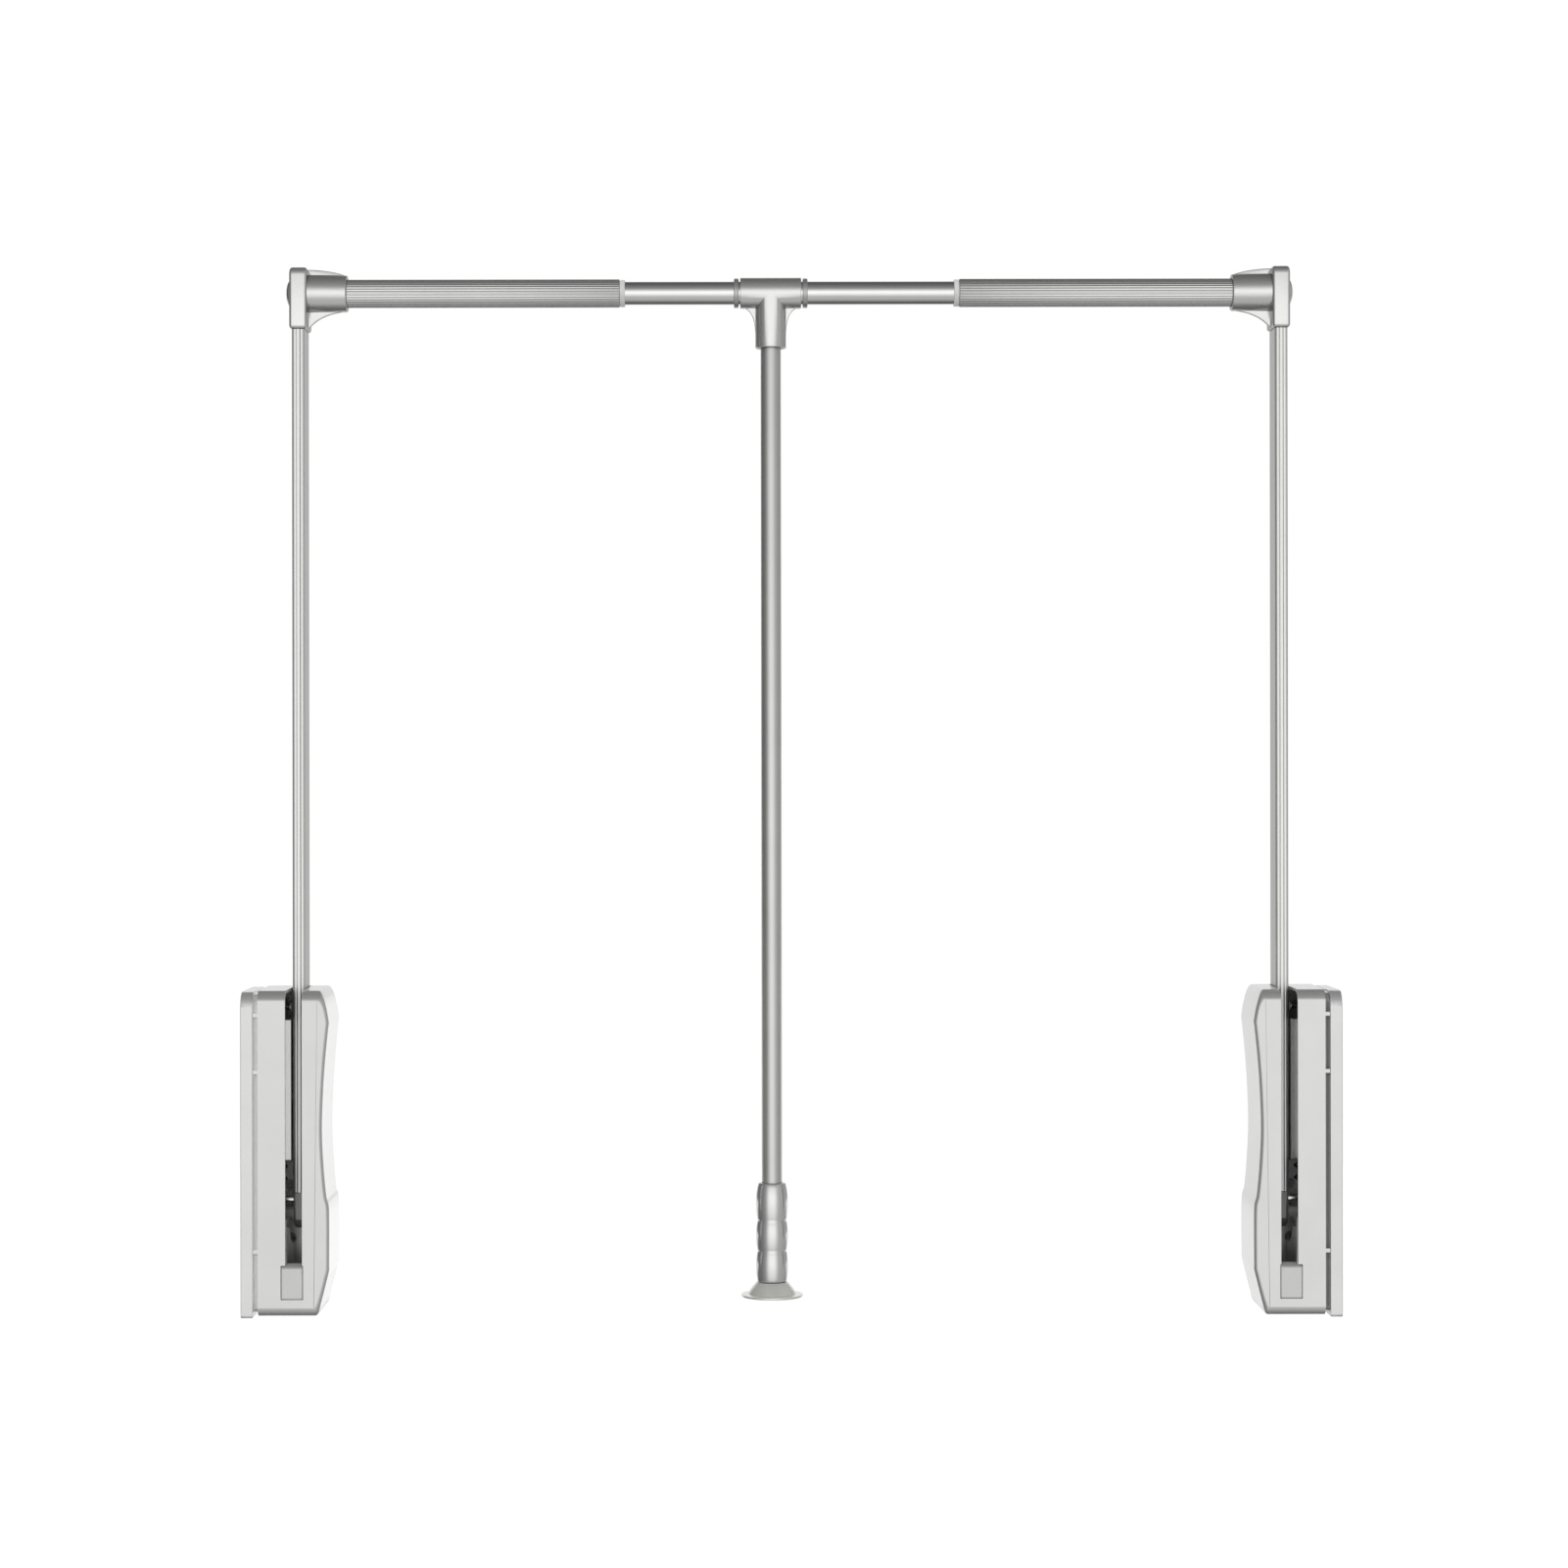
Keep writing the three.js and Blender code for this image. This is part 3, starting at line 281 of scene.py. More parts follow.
def oval(drawn_in, steps=20):
    """The arms' section without its grooves, drawn in."""
    radius = ARM_WIDTH / 2 - drawn_in
    middle = ARM_DEPTH / 2 - drawn_in - radius
    points = []
    for turn, centre in ((0, middle), (math.pi, -middle)):
        for k in range(steps + 1):
            angle = turn + math.pi * k / steps
            points.append((ARM_CENTRE + radius * math.cos(angle), centre + radius * math.sin(angle)))
    return points


def grooved(ridge=2.5, groove=0.6, steps=14):
    """The arms' section: two round ridges with a shallow groove between them, at the front and the back."""
    side, middle = ARM_WIDTH / 2 - ridge, ARM_DEPTH / 2 - ridge
    dip = math.acos(1 - groove / ridge)
    points = []
    corners = ((side, middle), (-side, middle), (-side, -middle), (side, -middle))
    for turn, (across, along) in enumerate(corners):
        first = QUARTER_TURN * turn - (dip if turn % 2 else 0)
        last = QUARTER_TURN * (turn + 1) + (0 if turn % 2 else dip)
        for k in range(steps + 1):
            angle = first + (last - first) * k / steps
            points.append((ARM_CENTRE + across + ridge * math.cos(angle), along + ridge * math.sin(angle)))
    return points


def stepped(start, *steps, tip=None):
    """A pin's profile: each step has a radius and the place where it ends, and the tip is a cone."""
    profile = [(0, start)]
    for radius, end in steps:
        profile += [(radius, start), (radius, end)]
        start = end
    if tip:
        profile.append(tip)
        start = tip[1]
    return [*profile, (0, start)]


def sleeve(inner, outer, start, end):
    return [(inner, start), (outer, start), (outer, end), (inner, end)]


def ring_profile(points, ease=0.25):
    """A closed profile with rounded corners, for a piece with a bore."""
    rounded = eased(points, ease, 3, closed=True)
    return [*rounded, rounded[0]]


def axis_profile(points, ease):
    """A profile with rounded corners, closed on the axis."""
    return [(0, points[0][1]), *eased(points, ease), (0, points[-1][1])]


# Solids from outlines and profiles

AXES = {"X": lambda u, v, w: (w, u, v), "Y": lambda u, v, w: (u, w, v), "Z": lambda u, v, w: (u, v, w)}


def slab(outline, axis, start, end, edge=0.0, steps=5):
    """A prism along an axis, with rounded rims at its start and its end."""
    place = AXES[axis]
    levels = [(0.0, start), (0.0, end)]
    if edge > 0:
        turns = [QUARTER_TURN * k / steps for k in range(steps + 1)]
        rise = [(edge * (1 - math.sin(angle)), edge * (1 - math.cos(angle))) for angle in turns]
        levels = [(drawn, start + along) for drawn, along in rise]
        levels += [(drawn, end - along) for drawn, along in reversed(rise)]
    rings = []
    for drawn, along in levels:
        ring = inset(outline, drawn) if drawn > TINY else outline
        rings.append([place(u, v, along) for u, v in ring])
    return skinned("slab", rings, capped=True)


def block(x0, x1, y0, y1, z0, z1):
    return slab([(x0, y0), (x1, y0), (x1, y1), (x0, y1)], "Z", z0, z1)


def turned(profile, axis="Z", centre=(0, 0, 0), segments=FINE):
    """A profile of (radius, place) pairs turned about an axis. It ends on the axis or closes on itself."""
    place = AXES[axis]
    rings = []
    for radius, along in profile:
        angles = [FULL_TURN * k / segments for k in range(segments)]
        ring = [place(radius * math.cos(angle), radius * math.sin(angle), along) for angle in angles]
        rings.append([(x + centre[0], y + centre[1], z + centre[2]) for x, y, z in ring])
    obj = skinned("turned", rings)
    with mesh_edit(obj.data) as work:
        bmesh.ops.dissolve_degenerate(work, edges=work.edges, dist=1e-5)
        bmesh.ops.recalc_face_normals(work, faces=work.faces)
    return obj


def sink(radius, depth):
    """How far a rounded edge draws a ring in, at a depth behind the face."""
    return radius - math.sqrt(max(radius ** 2 - (radius - depth) ** 2, 0)) if depth < radius else 0.0


def cushion(outline, start, end, side_edge, top_edge, bottom_edge, back_edge):
    """A prism along Y whose front has a small radius at its sides and larger ones at its top and bottom."""
    front_steps, back_steps, top_fade, low_fade = 14, 4, 26, 22
    top, low = max(v for _, v in outline), min(v for _, v in outline)
    largest = max(top_edge, bottom_edge)
    front_turns = [QUARTER_TURN * k / front_steps for k in range(front_steps + 1)]
    back_turns = [QUARTER_TURN * (1 - k / back_steps) for k in range(back_steps + 1)]
    places = [start + largest * (1 - math.cos(angle)) for angle in front_turns]
    places += [end - back_edge * math.sin(angle) for angle in back_turns]
    rings = []
    for i, y in enumerate(places):
        side = sink(side_edge, y - start)
        more_top, more_low = sink(top_edge, y - start) - side, sink(bottom_edge, y - start) - side
        drawn = side + (sink(back_edge, end - y) if i > front_steps else 0.0)
        ring = []
        for u, v in inset(outline, drawn) if drawn > TINY else outline:
            near_top = max(0.0, min(1.0, (v - top + top_fade) / top_fade))
            near_low = max(0.0, min(1.0, (low + low_fade - v) / low_fade))
            ring.append((u, y, v - more_top * near_top ** 2 + more_low * near_low ** 2))
        rings.append(ring)
    return skinned("cushion", rings, capped=True)


# Node helpers

def node(tree, kind, **values):
    """A node with its values, given by the names of its sockets or of its settings."""
    made = tree.nodes.new(kind)
    for key, value in values.items():
        if key in made.inputs:
            made.inputs[key].default_value = value
        else:
            setattr(made, key, value)
    return made


def math_node(tree, operation, *values, clamp=False):
    made = node(tree, "ShaderNodeMath", operation=operation, use_clamp=clamp)
    for socket, value in zip(made.inputs, values):
        if isinstance(value, (int, float)):
            socket.default_value = value
        else:
            tree.links.new(value, socket)
    return made.outputs["Value"]


def slope(tree, value, rise, offset):
    """A straight slope of a value, kept between nothing and one."""
    return math_node(tree, "MULTIPLY_ADD", value, rise, offset, clamp=True)


def ranged(tree, value, span, low=0.0, high=1.0):
    """Spreads a span of a value between two others."""
    made = tree.nodes.new("ShaderNodeMapRange")
    for key, number in (("From Min", span[0]), ("From Max", span[1]), ("To Min", low), ("To Max", high)):
        made.inputs[key].default_value = number
    tree.links.new(value, made.inputs["Value"])
    return made.outputs["Result"]


def blended(tree, share, first, second):
    """Mixes two colours, each a written one or the output of a node."""
    made = node(tree, "ShaderNodeMix", data_type="RGBA")
    for key, value in (("Factor", share), ("A", first), ("B", second)):
        if isinstance(value, tuple):
            made.inputs[key].default_value = (*value, 1)
        else:
            tree.links.new(value, made.inputs[key])
    return made.outputs["Result"]


def mixed(tree, share, first, second):
    made = tree.nodes.new("ShaderNodeMixShader")
    for socket, value in zip(made.inputs, (share, first, second)):
        tree.links.new(value, socket)
    return made.outputs["Shader"]


def split(tree, vector):
    made = tree.nodes.new("ShaderNodeSeparateXYZ")
    tree.links.new(vector, made.inputs["Vector"])
    return made.outputs


# Materials

GRAIN_SPAN = (0.3, 0.7)
MOTTLE_SPAN = (0.7, 1.3)
EDGE_SPAN = (0.53, 0.62)
# Normal X shares over which the painted side light fades in
PAINTED_SIDE_SPAN = (0.93, 0.98)
# Occlusion values over which the painted crevice light or shade fades out, and how far the occlusion looks
OPEN_SPAN = (0.4, 0.75)
CREVICE_REACH = 0.012
WORN_GAIN = 1.25
PALEST_WORN = 0.95
COAT_ROUGHNESS = 0.25


def scaled(colour, factor, most=1.0):
    return tuple(min(c * factor, most) for c in colour)


def finish_material(name, colour, metallic, roughness, grain=(900, 900, 900), grain_depth=0.00001,
                    rough_spread=0.06, tint=0.05, patch=30, coat=0.0, wear=0.06, rim=1.0, painted_crevice_tone=None,
                    painted_crevice_metallic=0.0, side=None):
    """A finish with fine grain, broad patches and worn edges, and, when given, painted light or shade in
    crevices and painted light on faces turned towards +X.
    """
    made = bpy.data.materials.new(name)
    made.use_nodes = True
    tree = made.node_tree
    shader = tree.nodes["Principled BSDF"]
    shader.inputs["Metallic"].default_value = metallic
    shader.inputs["Coat Weight"].default_value = coat
    shader.inputs["Coat Roughness"].default_value = COAT_ROUGHNESS
    shader.inputs["Specular Tint"].default_value = (rim, rim, rim, 1)
    place = tree.nodes.new("ShaderNodeTexCoord")
    stretch = node(tree, "ShaderNodeMapping", Scale=grain)
    tree.links.new(place.outputs["Object"], stretch.inputs["Vector"])
    fine = node(tree, "ShaderNodeTexNoise", Scale=1.0, Detail=4.0, Roughness=0.6)
    tree.links.new(stretch.outputs["Vector"], fine.inputs["Vector"])
    broad = node(tree, "ShaderNodeTexNoise", Scale=float(patch), Detail=3.0, Roughness=0.5)
    tree.links.new(place.outputs["Object"], broad.inputs["Vector"])
    spread = rough_spread / 2
    rough = ranged(tree, fine.outputs["Fac"], GRAIN_SPAN, roughness - spread, roughness + spread)
    tree.links.new(rough, shader.inputs["Roughness"])
    mottle = ranged(tree, math_node(tree, "ADD", fine.outputs["Fac"], broad.outputs["Fac"]), MOTTLE_SPAN)
    base = blended(tree, mottle, scaled(colour, 1 - tint), scaled(colour, 1 + tint))
    shape = tree.nodes.new("ShaderNodeNewGeometry")
    edges = ranged(tree, shape.outputs["Pointiness"], EDGE_SPAN, 0.0, wear)
    base = blended(tree, edges, base, scaled(colour, WORN_GAIN, PALEST_WORN))
    # Painted light: faces whose normal points towards +X are mixed towards the given side colour.
    if side:
        painted_side_light = ranged(tree, split(tree, place.outputs["Normal"])["X"], PAINTED_SIDE_SPAN)
        base = blended(tree, painted_side_light, base, side)
    # Painted light or shade: where ambient occlusion finds a crevice, the colour turns to the given crevice
    # tone and the metallic share changes with it.
    if painted_crevice_tone:
        occlusion = node(tree, "ShaderNodeAmbientOcclusion", samples=8, Distance=CREVICE_REACH)
        unshaded_share = ranged(tree, occlusion.outputs["AO"], OPEN_SPAN)
        base = blended(tree, unshaded_share, painted_crevice_tone, base)
        crevice_metallic = ranged(tree, unshaded_share, (0.0, 1.0), painted_crevice_metallic, metallic)
        tree.links.new(crevice_metallic, shader.inputs["Metallic"])
    tree.links.new(base, shader.inputs["Base Color"])
    bump = node(tree, "ShaderNodeBump", Strength=1.0, Distance=grain_depth)
    tree.links.new(fine.outputs["Fac"], bump.inputs["Height"])
    tree.links.new(bump.outputs["Normal"], shader.inputs["Normal"])
    return made


# Painted light: a pale tone put where occlusion finds crevices, or on faces turned towards +X
PAINTED_LIGHT_TONE = (0.86, 0.86, 0.855)
MOULDING = {"tint": 0.03, "coat": 0.15, "grain_depth": 0.0000015, "rough_spread": 0.03}
MATERIALS = {
    # Painted light: the shell's crevices and the faces inside its slot and hollow turn pale and less
    # metallic.
    "shell": finish_material("silver_shell", (0.565, 0.565, 0.56), 0.75, 0.23, painted_crevice_tone=PAINTED_LIGHT_TONE, painted_crevice_metallic=0.35,
                             **MOULDING),
    # Painted shade: the plate's crevices, the seam beside the cover among them, turn dark grey.
    "plate": finish_material("silver_plate", (0.585, 0.585, 0.58), 0.7, 0.25, painted_crevice_tone=(0.3, 0.3, 0.3),
                             painted_crevice_metallic=0.5, **MOULDING),
    "steel": finish_material("zinc_steel", (0.66, 0.66, 0.65), 0.6, 0.35, patch=120, tint=0.1),
    "bright": finish_material("bright_steel", (0.70, 0.70, 0.69), 1.0, 0.13, grain=(60, 60, 60), tint=0.02,
                              grain_depth=0.000001, rough_spread=0.03),
    "arm": finish_material("satin_arm", (0.69, 0.69, 0.68), 0.85, 0.32, grain=(1600, 1600, 30),
                           grain_depth=0.000002, tint=0.02, rim=0.5),
    "fluted": finish_material("satin_tube", (0.66, 0.66, 0.65), 0.95, 0.22, grain=(40, 2500, 2500),
                              grain_depth=0.000003, tint=0.04),
    "casting": finish_material("silver_casting", (0.64, 0.64, 0.63), 0.9, 0.17, grain=(500, 500, 500),
                               grain_depth=0.0000015, tint=0.03, rough_spread=0.03, rim=0.45),
    "grip": finish_material("satin_grip", (0.66, 0.66, 0.655), 0.9, 0.18, tint=0.03, grain_depth=0.000002,
                            rough_spread=0.03),
    "flare": finish_material("champagne_flare", (0.70, 0.70, 0.66), 0.6, 0.24, tint=0.04,
                             grain_depth=0.000004),
    "nylon": finish_material("grey_nylon", (0.55, 0.55, 0.55), 0.0, 0.45, tint=0.05),
    "rubber": finish_material("dark_rubber", (0.05, 0.05, 0.05), 0.0, 0.7, tint=0.1),
    "stop": finish_material("grey_stop", (0.5, 0.5, 0.495), 0.45, 0.3, tint=0.04),
    "spring": finish_material("spring_wire", (0.38, 0.38, 0.375), 1.0, 0.25, grain=(3000, 3000, 3000),
                              tint=0.1),
}
SATIN_ROD = finish_material("satin_rod", (0.68, 0.68, 0.67), 1.0, 0.4, grain=(900, 900, 60), tint=0.03,
                            grain_depth=0.000001, rough_spread=0.03)
# Painted shade: a darker copy of the casting finish for the curved collars
RING_PAINTED_SHADE = finish_material("ring_painted_shade", (0.42, 0.42, 0.415), 0.8, 0.28, tint=0.04, grain_depth=0.000002)
# A rougher copy of the casting finish, with a darker colour as painted shade for the arm foot deep in the
# slot
DULL_FOOT_PAINTED_SHADE = finish_material("dull_foot_painted_shade", (0.45, 0.45, 0.445), 0.5, 0.45, tint=0.05)
# A copy of the shell for the left cover only: a slightly darker colour as painted shade on its front, the
# pale tone on faces towards +X as painted light, and painted light in its crevices.
LEFT_SHELL_PAINTED_LIGHT = finish_material("left_shell_painted_light", (0.555, 0.555, 0.55), 0.75, 0.23, painted_crevice_tone=PAINTED_LIGHT_TONE, painted_crevice_metallic=0.35,
                              side=PAINTED_LIGHT_TONE, **MOULDING)
# A copy of the plate for the left side only: its seam and other crevices get the pale tone as painted light,
# where the plate has painted shade.
LEFT_PLATE_PAINTED_LIGHT = finish_material("left_plate_painted_light", (0.585, 0.585, 0.58), 0.7, 0.25, painted_crevice_tone=PAINTED_LIGHT_TONE, painted_crevice_metallic=0.3,
                              **MOULDING)
SLOT_OF = {row["node"]: row["material_slot"] for row in frame["record"]["subparts"]}
for name, cad in frame["nodes"].items():
    cad.data.materials.clear()
    cad.data.materials.append(MATERIALS[SLOT_OF[name]])


# Placing

def placed(obj, *nodes):
    """Scales a finished piece to metres, gives it its finish and lets it stand for its solid."""
    obj.data.transform(Matrix.Scale(MM, 4))
    obj.name = obj.data.name = f"{nodes[0]}_shape"
    obj.data.materials.clear()
    obj.data.materials.append(MATERIALS[SLOT_OF[nodes[0]]])
    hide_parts(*nodes)
    return obj


def carried(obj, *nodes):
    placed(obj, *nodes)
    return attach(obj, frame["nodes"][nodes[0]]["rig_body"])


def mirrored(obj):
    mesh = obj.data.copy()
    mesh.transform(Matrix.Translation((SPAN, 0, 0)) @ Matrix.Diagonal((-1, 1, 1, 1)))
    mesh.flip_normals()
    return linked("twin", mesh)


def both_sides(obj, node_name):
    twin = mirrored(obj)
    return carried(obj, f"left_{node_name}"), carried(twin, f"right_{node_name}")


# Housing cover

COVER_WALL = 2.4
SIDE_EDGE = 3.4
TOP_EDGE = 10.5
BOTTOM_EDGE = 9.0
BACK_EDGE = 3.0
WAVE_WAIST = 22.4
WAVE_BULGE = 28.2
WAVE_HEIGHT_SHARES = (0.9, 0.79, 0.68, 0.565, 0.46, 0.37, 0.32, 0.143)
WAVE_REACH_SHARES = (0.95, 0.46, 0.14, 0.0, 0.2, 0.56, 0.95, 0.95)
TOP_REACH = 19.0
BOTTOM_REACH = 19.5
TOP_ROUND = 5.5
BOTTOM_ROUND = 3.0
SLOT = (35.4, 48.6)
SLOT_FOOT = -37.03
SLOT_BACK = 16.4
CHEEK = 2.2
CHEEK_FRONT = -22.0
CHEEK_BACK = -9.0
CHEEK_HEIGHTS = (45.0, 156.0)
LOWER_CHEEK_BACK = 6.0
LEDGE = (28.8, 36.5)
LEDGE_FRONT = -24.3
LEDGE_BACK = -21.5
LEFT_LEDGE_TIP = -22.8
POCKET = (31.8, 49.4)
POCKET_BACK = -42.7
POCKET_HEIGHTS = (-62.3, -35.4)
POCKET_WALL = 2.0
CLIP = 3.0
CLIP_HEIGHTS = (161.7, 116.75, -24.6)
SWEEP = 24.0
SLOT_RIM = 0.35
RIM_SIDES = (31.0, 50.0)
FRONT_SLACK = 0.02
FACING_FRONT = 0.999
BROAD_AREA = 40


def cover_outline():
    """The cover seen from the front, anticlockwise, with a spline as its wavy side."""
    height = TOP + BOTTOM
    waist, bulge = ARM_CENTRE + WAVE_WAIST, ARM_CENTRE + WAVE_BULGE
    wave = [(waist + (bulge - waist) * r, TOP - height * (1 - h))
            for h, r in zip(WAVE_HEIGHT_SHARES, WAVE_REACH_SHARES)]
    top_start = (ARM_CENTRE + TOP_REACH, TOP)
    corner = bend(top_start, (top_start[0] + TOP_ROUND, TOP), wave[0], 14)
    side = curve_through(wave, 56)
    knee = side[-1]
    foot_start = (ARM_CENTRE + BOTTOM_REACH, BOTTOM_ROUND - BOTTOM)
    fall = (foot_start[0] - knee[0], foot_start[1] - knee[1])
    steps = 6
    straight = [(knee[0] + fall[0] * k / steps, knee[1] + fall[1] * k / steps) for k in range(1, steps + 1)]
    foot_bend = (foot_start[0] - 1.3, 0.3 - BOTTOM)
    foot = bend(foot_start, foot_bend, (foot_start[0] - BOTTOM_ROUND, -BOTTOM), 4)
    open_edge = COVER_START - 3 * OVER
    points = [(open_edge, TOP), *corner, *side[1:], *straight, *foot[1:], (open_edge, -BOTTOM)]
    return list(reversed(points))


def broad_front(face):
    return abs(face.normal.y) > FACING_FRONT and face.calc_area() > BROAD_AREA


def housing_cover(ledge_tip):
    """The moulded cover with its hollow, its arm slot and the pocket for the stop, open towards the plate."""
    outline = cover_outline()
    inner_front = FRONT + COVER_WALL / 2
    body = cushion(outline, FRONT, BACK, SIDE_EDGE, TOP_EDGE, BOTTOM_EDGE, BACK_EDGE)
    inner_edges = [edge - COVER_WALL for edge in (SIDE_EDGE, TOP_EDGE, BOTTOM_EDGE, BACK_EDGE)]
    hollow = cushion(inset(outline, COVER_WALL), FRONT + COVER_WALL, BACK - COVER_WALL, *inner_edges)
    carved(body, hollow, block(-OVER, COVER_START, FRONT - OVER, BACK + OVER, -BOTTOM - OVER, TOP + OVER))
    ledge = [(LEDGE[0], LEDGE_BACK), (LEDGE[0], LEDGE_FRONT), (LEDGE[1], ledge_tip), (LEDGE[1], LEDGE_BACK)]
    joined(
        body,
        block(SLOT[1], SLOT[1] + CHEEK, inner_front, CHEEK_BACK, *CHEEK_HEIGHTS),
        block(LEDGE[0], LEDGE[0] + CHEEK, inner_front, LEDGE_BACK, *CHEEK_HEIGHTS),
        slab(ledge, "Z", *CHEEK_HEIGHTS),
        block(SLOT[0] - CHEEK, SLOT[0], CHEEK_FRONT, CHEEK_BACK, *CHEEK_HEIGHTS),
        block(POCKET[0] - POCKET_WALL, POCKET[1] + POCKET_WALL, inner_front, POCKET_BACK + POCKET_WALL,
              POCKET_HEIGHTS[0] - POCKET_WALL, SLOT_FOOT),
        block(SLOT[0] - CHEEK, SLOT[0], POCKET_BACK, LOWER_CHEEK_BACK, POCKET_HEIGHTS[0], 0),
        *[block(PLATE_FACE + GAP, COVER_START + COVER_WALL, PLATE_FRONT, FRONT + COVER_WALL,
                z - CLIP / 2, z + CLIP / 2) for z in CLIP_HEIGHTS],
    )
    sweep_start, sweep_end = SLOT[0] - CHEEK - OVER, SLOT[0] + OVER
    sweep = turned(stepped(sweep_start, (SWEEP, sweep_end)), "X", segments=48)
    past_back = block(sweep_start - OVER, sweep_end + OVER, BACK - COVER_WALL, SWEEP + OVER, -SWEEP - OVER,
                      SWEEP + OVER)
    carved(
        body,
        block(*SLOT, FRONT - OVER, FRONT + COVER_WALL + OVER, SLOT_FOOT - OVER, TOP + OVER),
        block(*SLOT, FRONT - OVER, SLOT_BACK, TOP - COVER_WALL - TOP_EDGE, TOP + OVER),
        block(*POCKET, FRONT - OVER, POCKET_BACK, *POCKET_HEIGHTS),
        carved(sweep, past_back),
    )
    rimmed(body, SLOT_RIM, lambda p: RIM_SIDES[0] < p.x < RIM_SIDES[1] and p.y < FRONT + FRONT_SLACK)
    return smoothed(body, 30, broad_front)


# The left cover gets the copy of the shell with painted light and shade.
carried(housing_cover(LEFT_LEDGE_TIP), "left_housing_cover").data.materials[0] = LEFT_SHELL_PAINTED_LIGHT
pattern = housing_cover(LEDGE_FRONT)
carried(mirrored(pattern), "right_housing_cover")
bpy.data.objects.remove(pattern)


# Pieces that keep the solid's shape and get fine rounded edges

SEAM_FACE = -47.0
SEAM_FLOOR = -45.5
SEAM_MIDDLE = 11.4
SEAM_OVERLAP = 0.2
WIDE_AREA = 60
REFINED = {"pivot_bracket": 0.25, "arm_foot": 0.4, "axle_clip": 0.12, "rest_buffer": 0.5, "stop_block": 1.0}


def wide(face):
    return face.calc_area() > WIDE_AREA


def refined(node_name, width):
    """The solid's own mesh in millimetres, without its needless edges and with its sharp edges rounded."""
    source = frame["nodes"][node_name]
    mesh = source.data.copy()
    mesh.transform(Matrix.Scale(1 / MM, 4))
    obj = linked("refined", mesh)
    with mesh_edit(mesh) as work:
        bmesh.ops.remove_doubles(work, verts=work.verts, dist=1e-3)
        bmesh.ops.dissolve_limit(work, angle_limit=math.radians(0.5), verts=work.verts, edges=work.edges)
        bmesh.ops.recalc_face_normals(work, faces=work.faces)
    return smoothed(softened(obj, width, 40), 35, wide)


def wall_plate():
    """The plate, with a deeper seam beside the cover."""
    seam_end = COVER_START + SEAM_OVERLAP
    seam = [(PLATE_FACE, FRONT - OVER), (seam_end, FRONT - OVER), (seam_end, SEAM_FACE),
            (SEAM_MIDDLE, SEAM_FLOOR), (PLATE_FACE, SEAM_FACE)]
    plate = carved(refined("left_wall_plate", 0.6), slab(seam, "Z", -BOTTOM - OVER, TOP + OVER))
    return smoothed(plate, 35, wide)


for piece, width in REFINED.items():
    for half in both_sides(refined(f"left_{piece}", width), piece):
        # The arm foot gets the rougher, darker copy of the casting finish, whose darker colour is painted
        # shade.
        if piece == "arm_foot":
            half.data.materials[0] = DULL_FOOT_PAINTED_SHADE
left_plate, _ = both_sides(wall_plate(), "wall_plate")
# The left plate gets the copy with painted light in its seam.
left_plate.data.materials[0] = LEFT_PLATE_PAINTED_LIGHT


# Turned pieces inside the housings

AXLE = 4.0
BUSH_BORE = 4.3
BUSH = 5.5
FLANGE = 8.0
PIN = 2.5
CRANK_RADIUS = 16.0
CRANK_ANGLE = math.radians(40)
CRANK = (-CRANK_RADIUS * math.sin(CRANK_ANGLE), CRANK_RADIUS * math.cos(CRANK_ANGLE))
ANCHOR_HEIGHT = 165.0
SCREW_HEIGHTS = {"upper": 27.2, "lower": -32.4}
SCREW_BACK = 11.0


def pin(profile, y=0.0, z=0.0, ease=0.35):
    return smoothed(turned(eased(profile, ease, 3), "X", (0, y, z), 48))


def pivot_axle():
    """The axle, with a groove for its snap clip at one end and a head at the other."""
    start, end = 9.8, 53.8
    groove, groove_start, groove_end = 3.2, 10.95, 12.15
    head, head_start, head_edge = 6.5, 51.3, 52.6
    return pin(stepped(start, (AXLE, groove_start), (groove, groove_end), (AXLE, head_start),
                       (head, head_edge), tip=(AXLE, end)))


def pivot_bush(turn):
    """A flanged bush that starts beside the arm's centre and runs out to one side of it."""
    end, flange_start, face = (ARM_CENTRE + turn * reach for reach in (0.15, 5.45, 6.65))
    return pin(ring_profile([(BUSH_BORE, face), (FLANGE, face), (FLANGE, flange_start), (BUSH, flange_start),
                             (BUSH, end), (BUSH_BORE, end)]))


def spring_anchor():
    start, end = 4.3, 33.7
    head, head_start = 3.8, 32.3
    return pin(stepped(start, (PIN, head_start), (head, end)), 0, ANCHOR_HEIGHT)


def crank_pin():
    start, end = 23.6, 42.5
    head, head_end = 3.7, 25.0
    return pin(stepped(start, (head, head_end), (PIN, end)), *CRANK)


def bracket_screw(height):
    start, end = 6.0, 16.6
    shank, crown = 2.1, 2.0
    head, head_start, head_edge = 4.0, 14.6, 15.6
    return pin(stepped(start, (shank, head_start), (head, head_edge), tip=(crown, end)), SCREW_BACK, height)


SPACER = (14.6, 35.05)
both_sides(pivot_axle(), "pivot_axle")
both_sides(pin(ring_profile(sleeve(BUSH_BORE, BUSH, *SPACER))), "axle_spacer")
both_sides(pivot_bush(-1), "pivot_bush_outer")
both_sides(pivot_bush(1), "pivot_bush_inner")
both_sides(spring_anchor(), "spring_anchor")
both_sides(crank_pin(), "crank_pin")
for place, height in SCREW_HEIGHTS.items():
    both_sides(bracket_screw(height), f"bracket_screw_{place}")


# Return spring: a round wire with a hook at each end

SPRING_PLACE = 26.3
WIRE = 1.0
COIL = 5.0
HOOK = 3.8
CURLS = 13
LEAD = 14.0


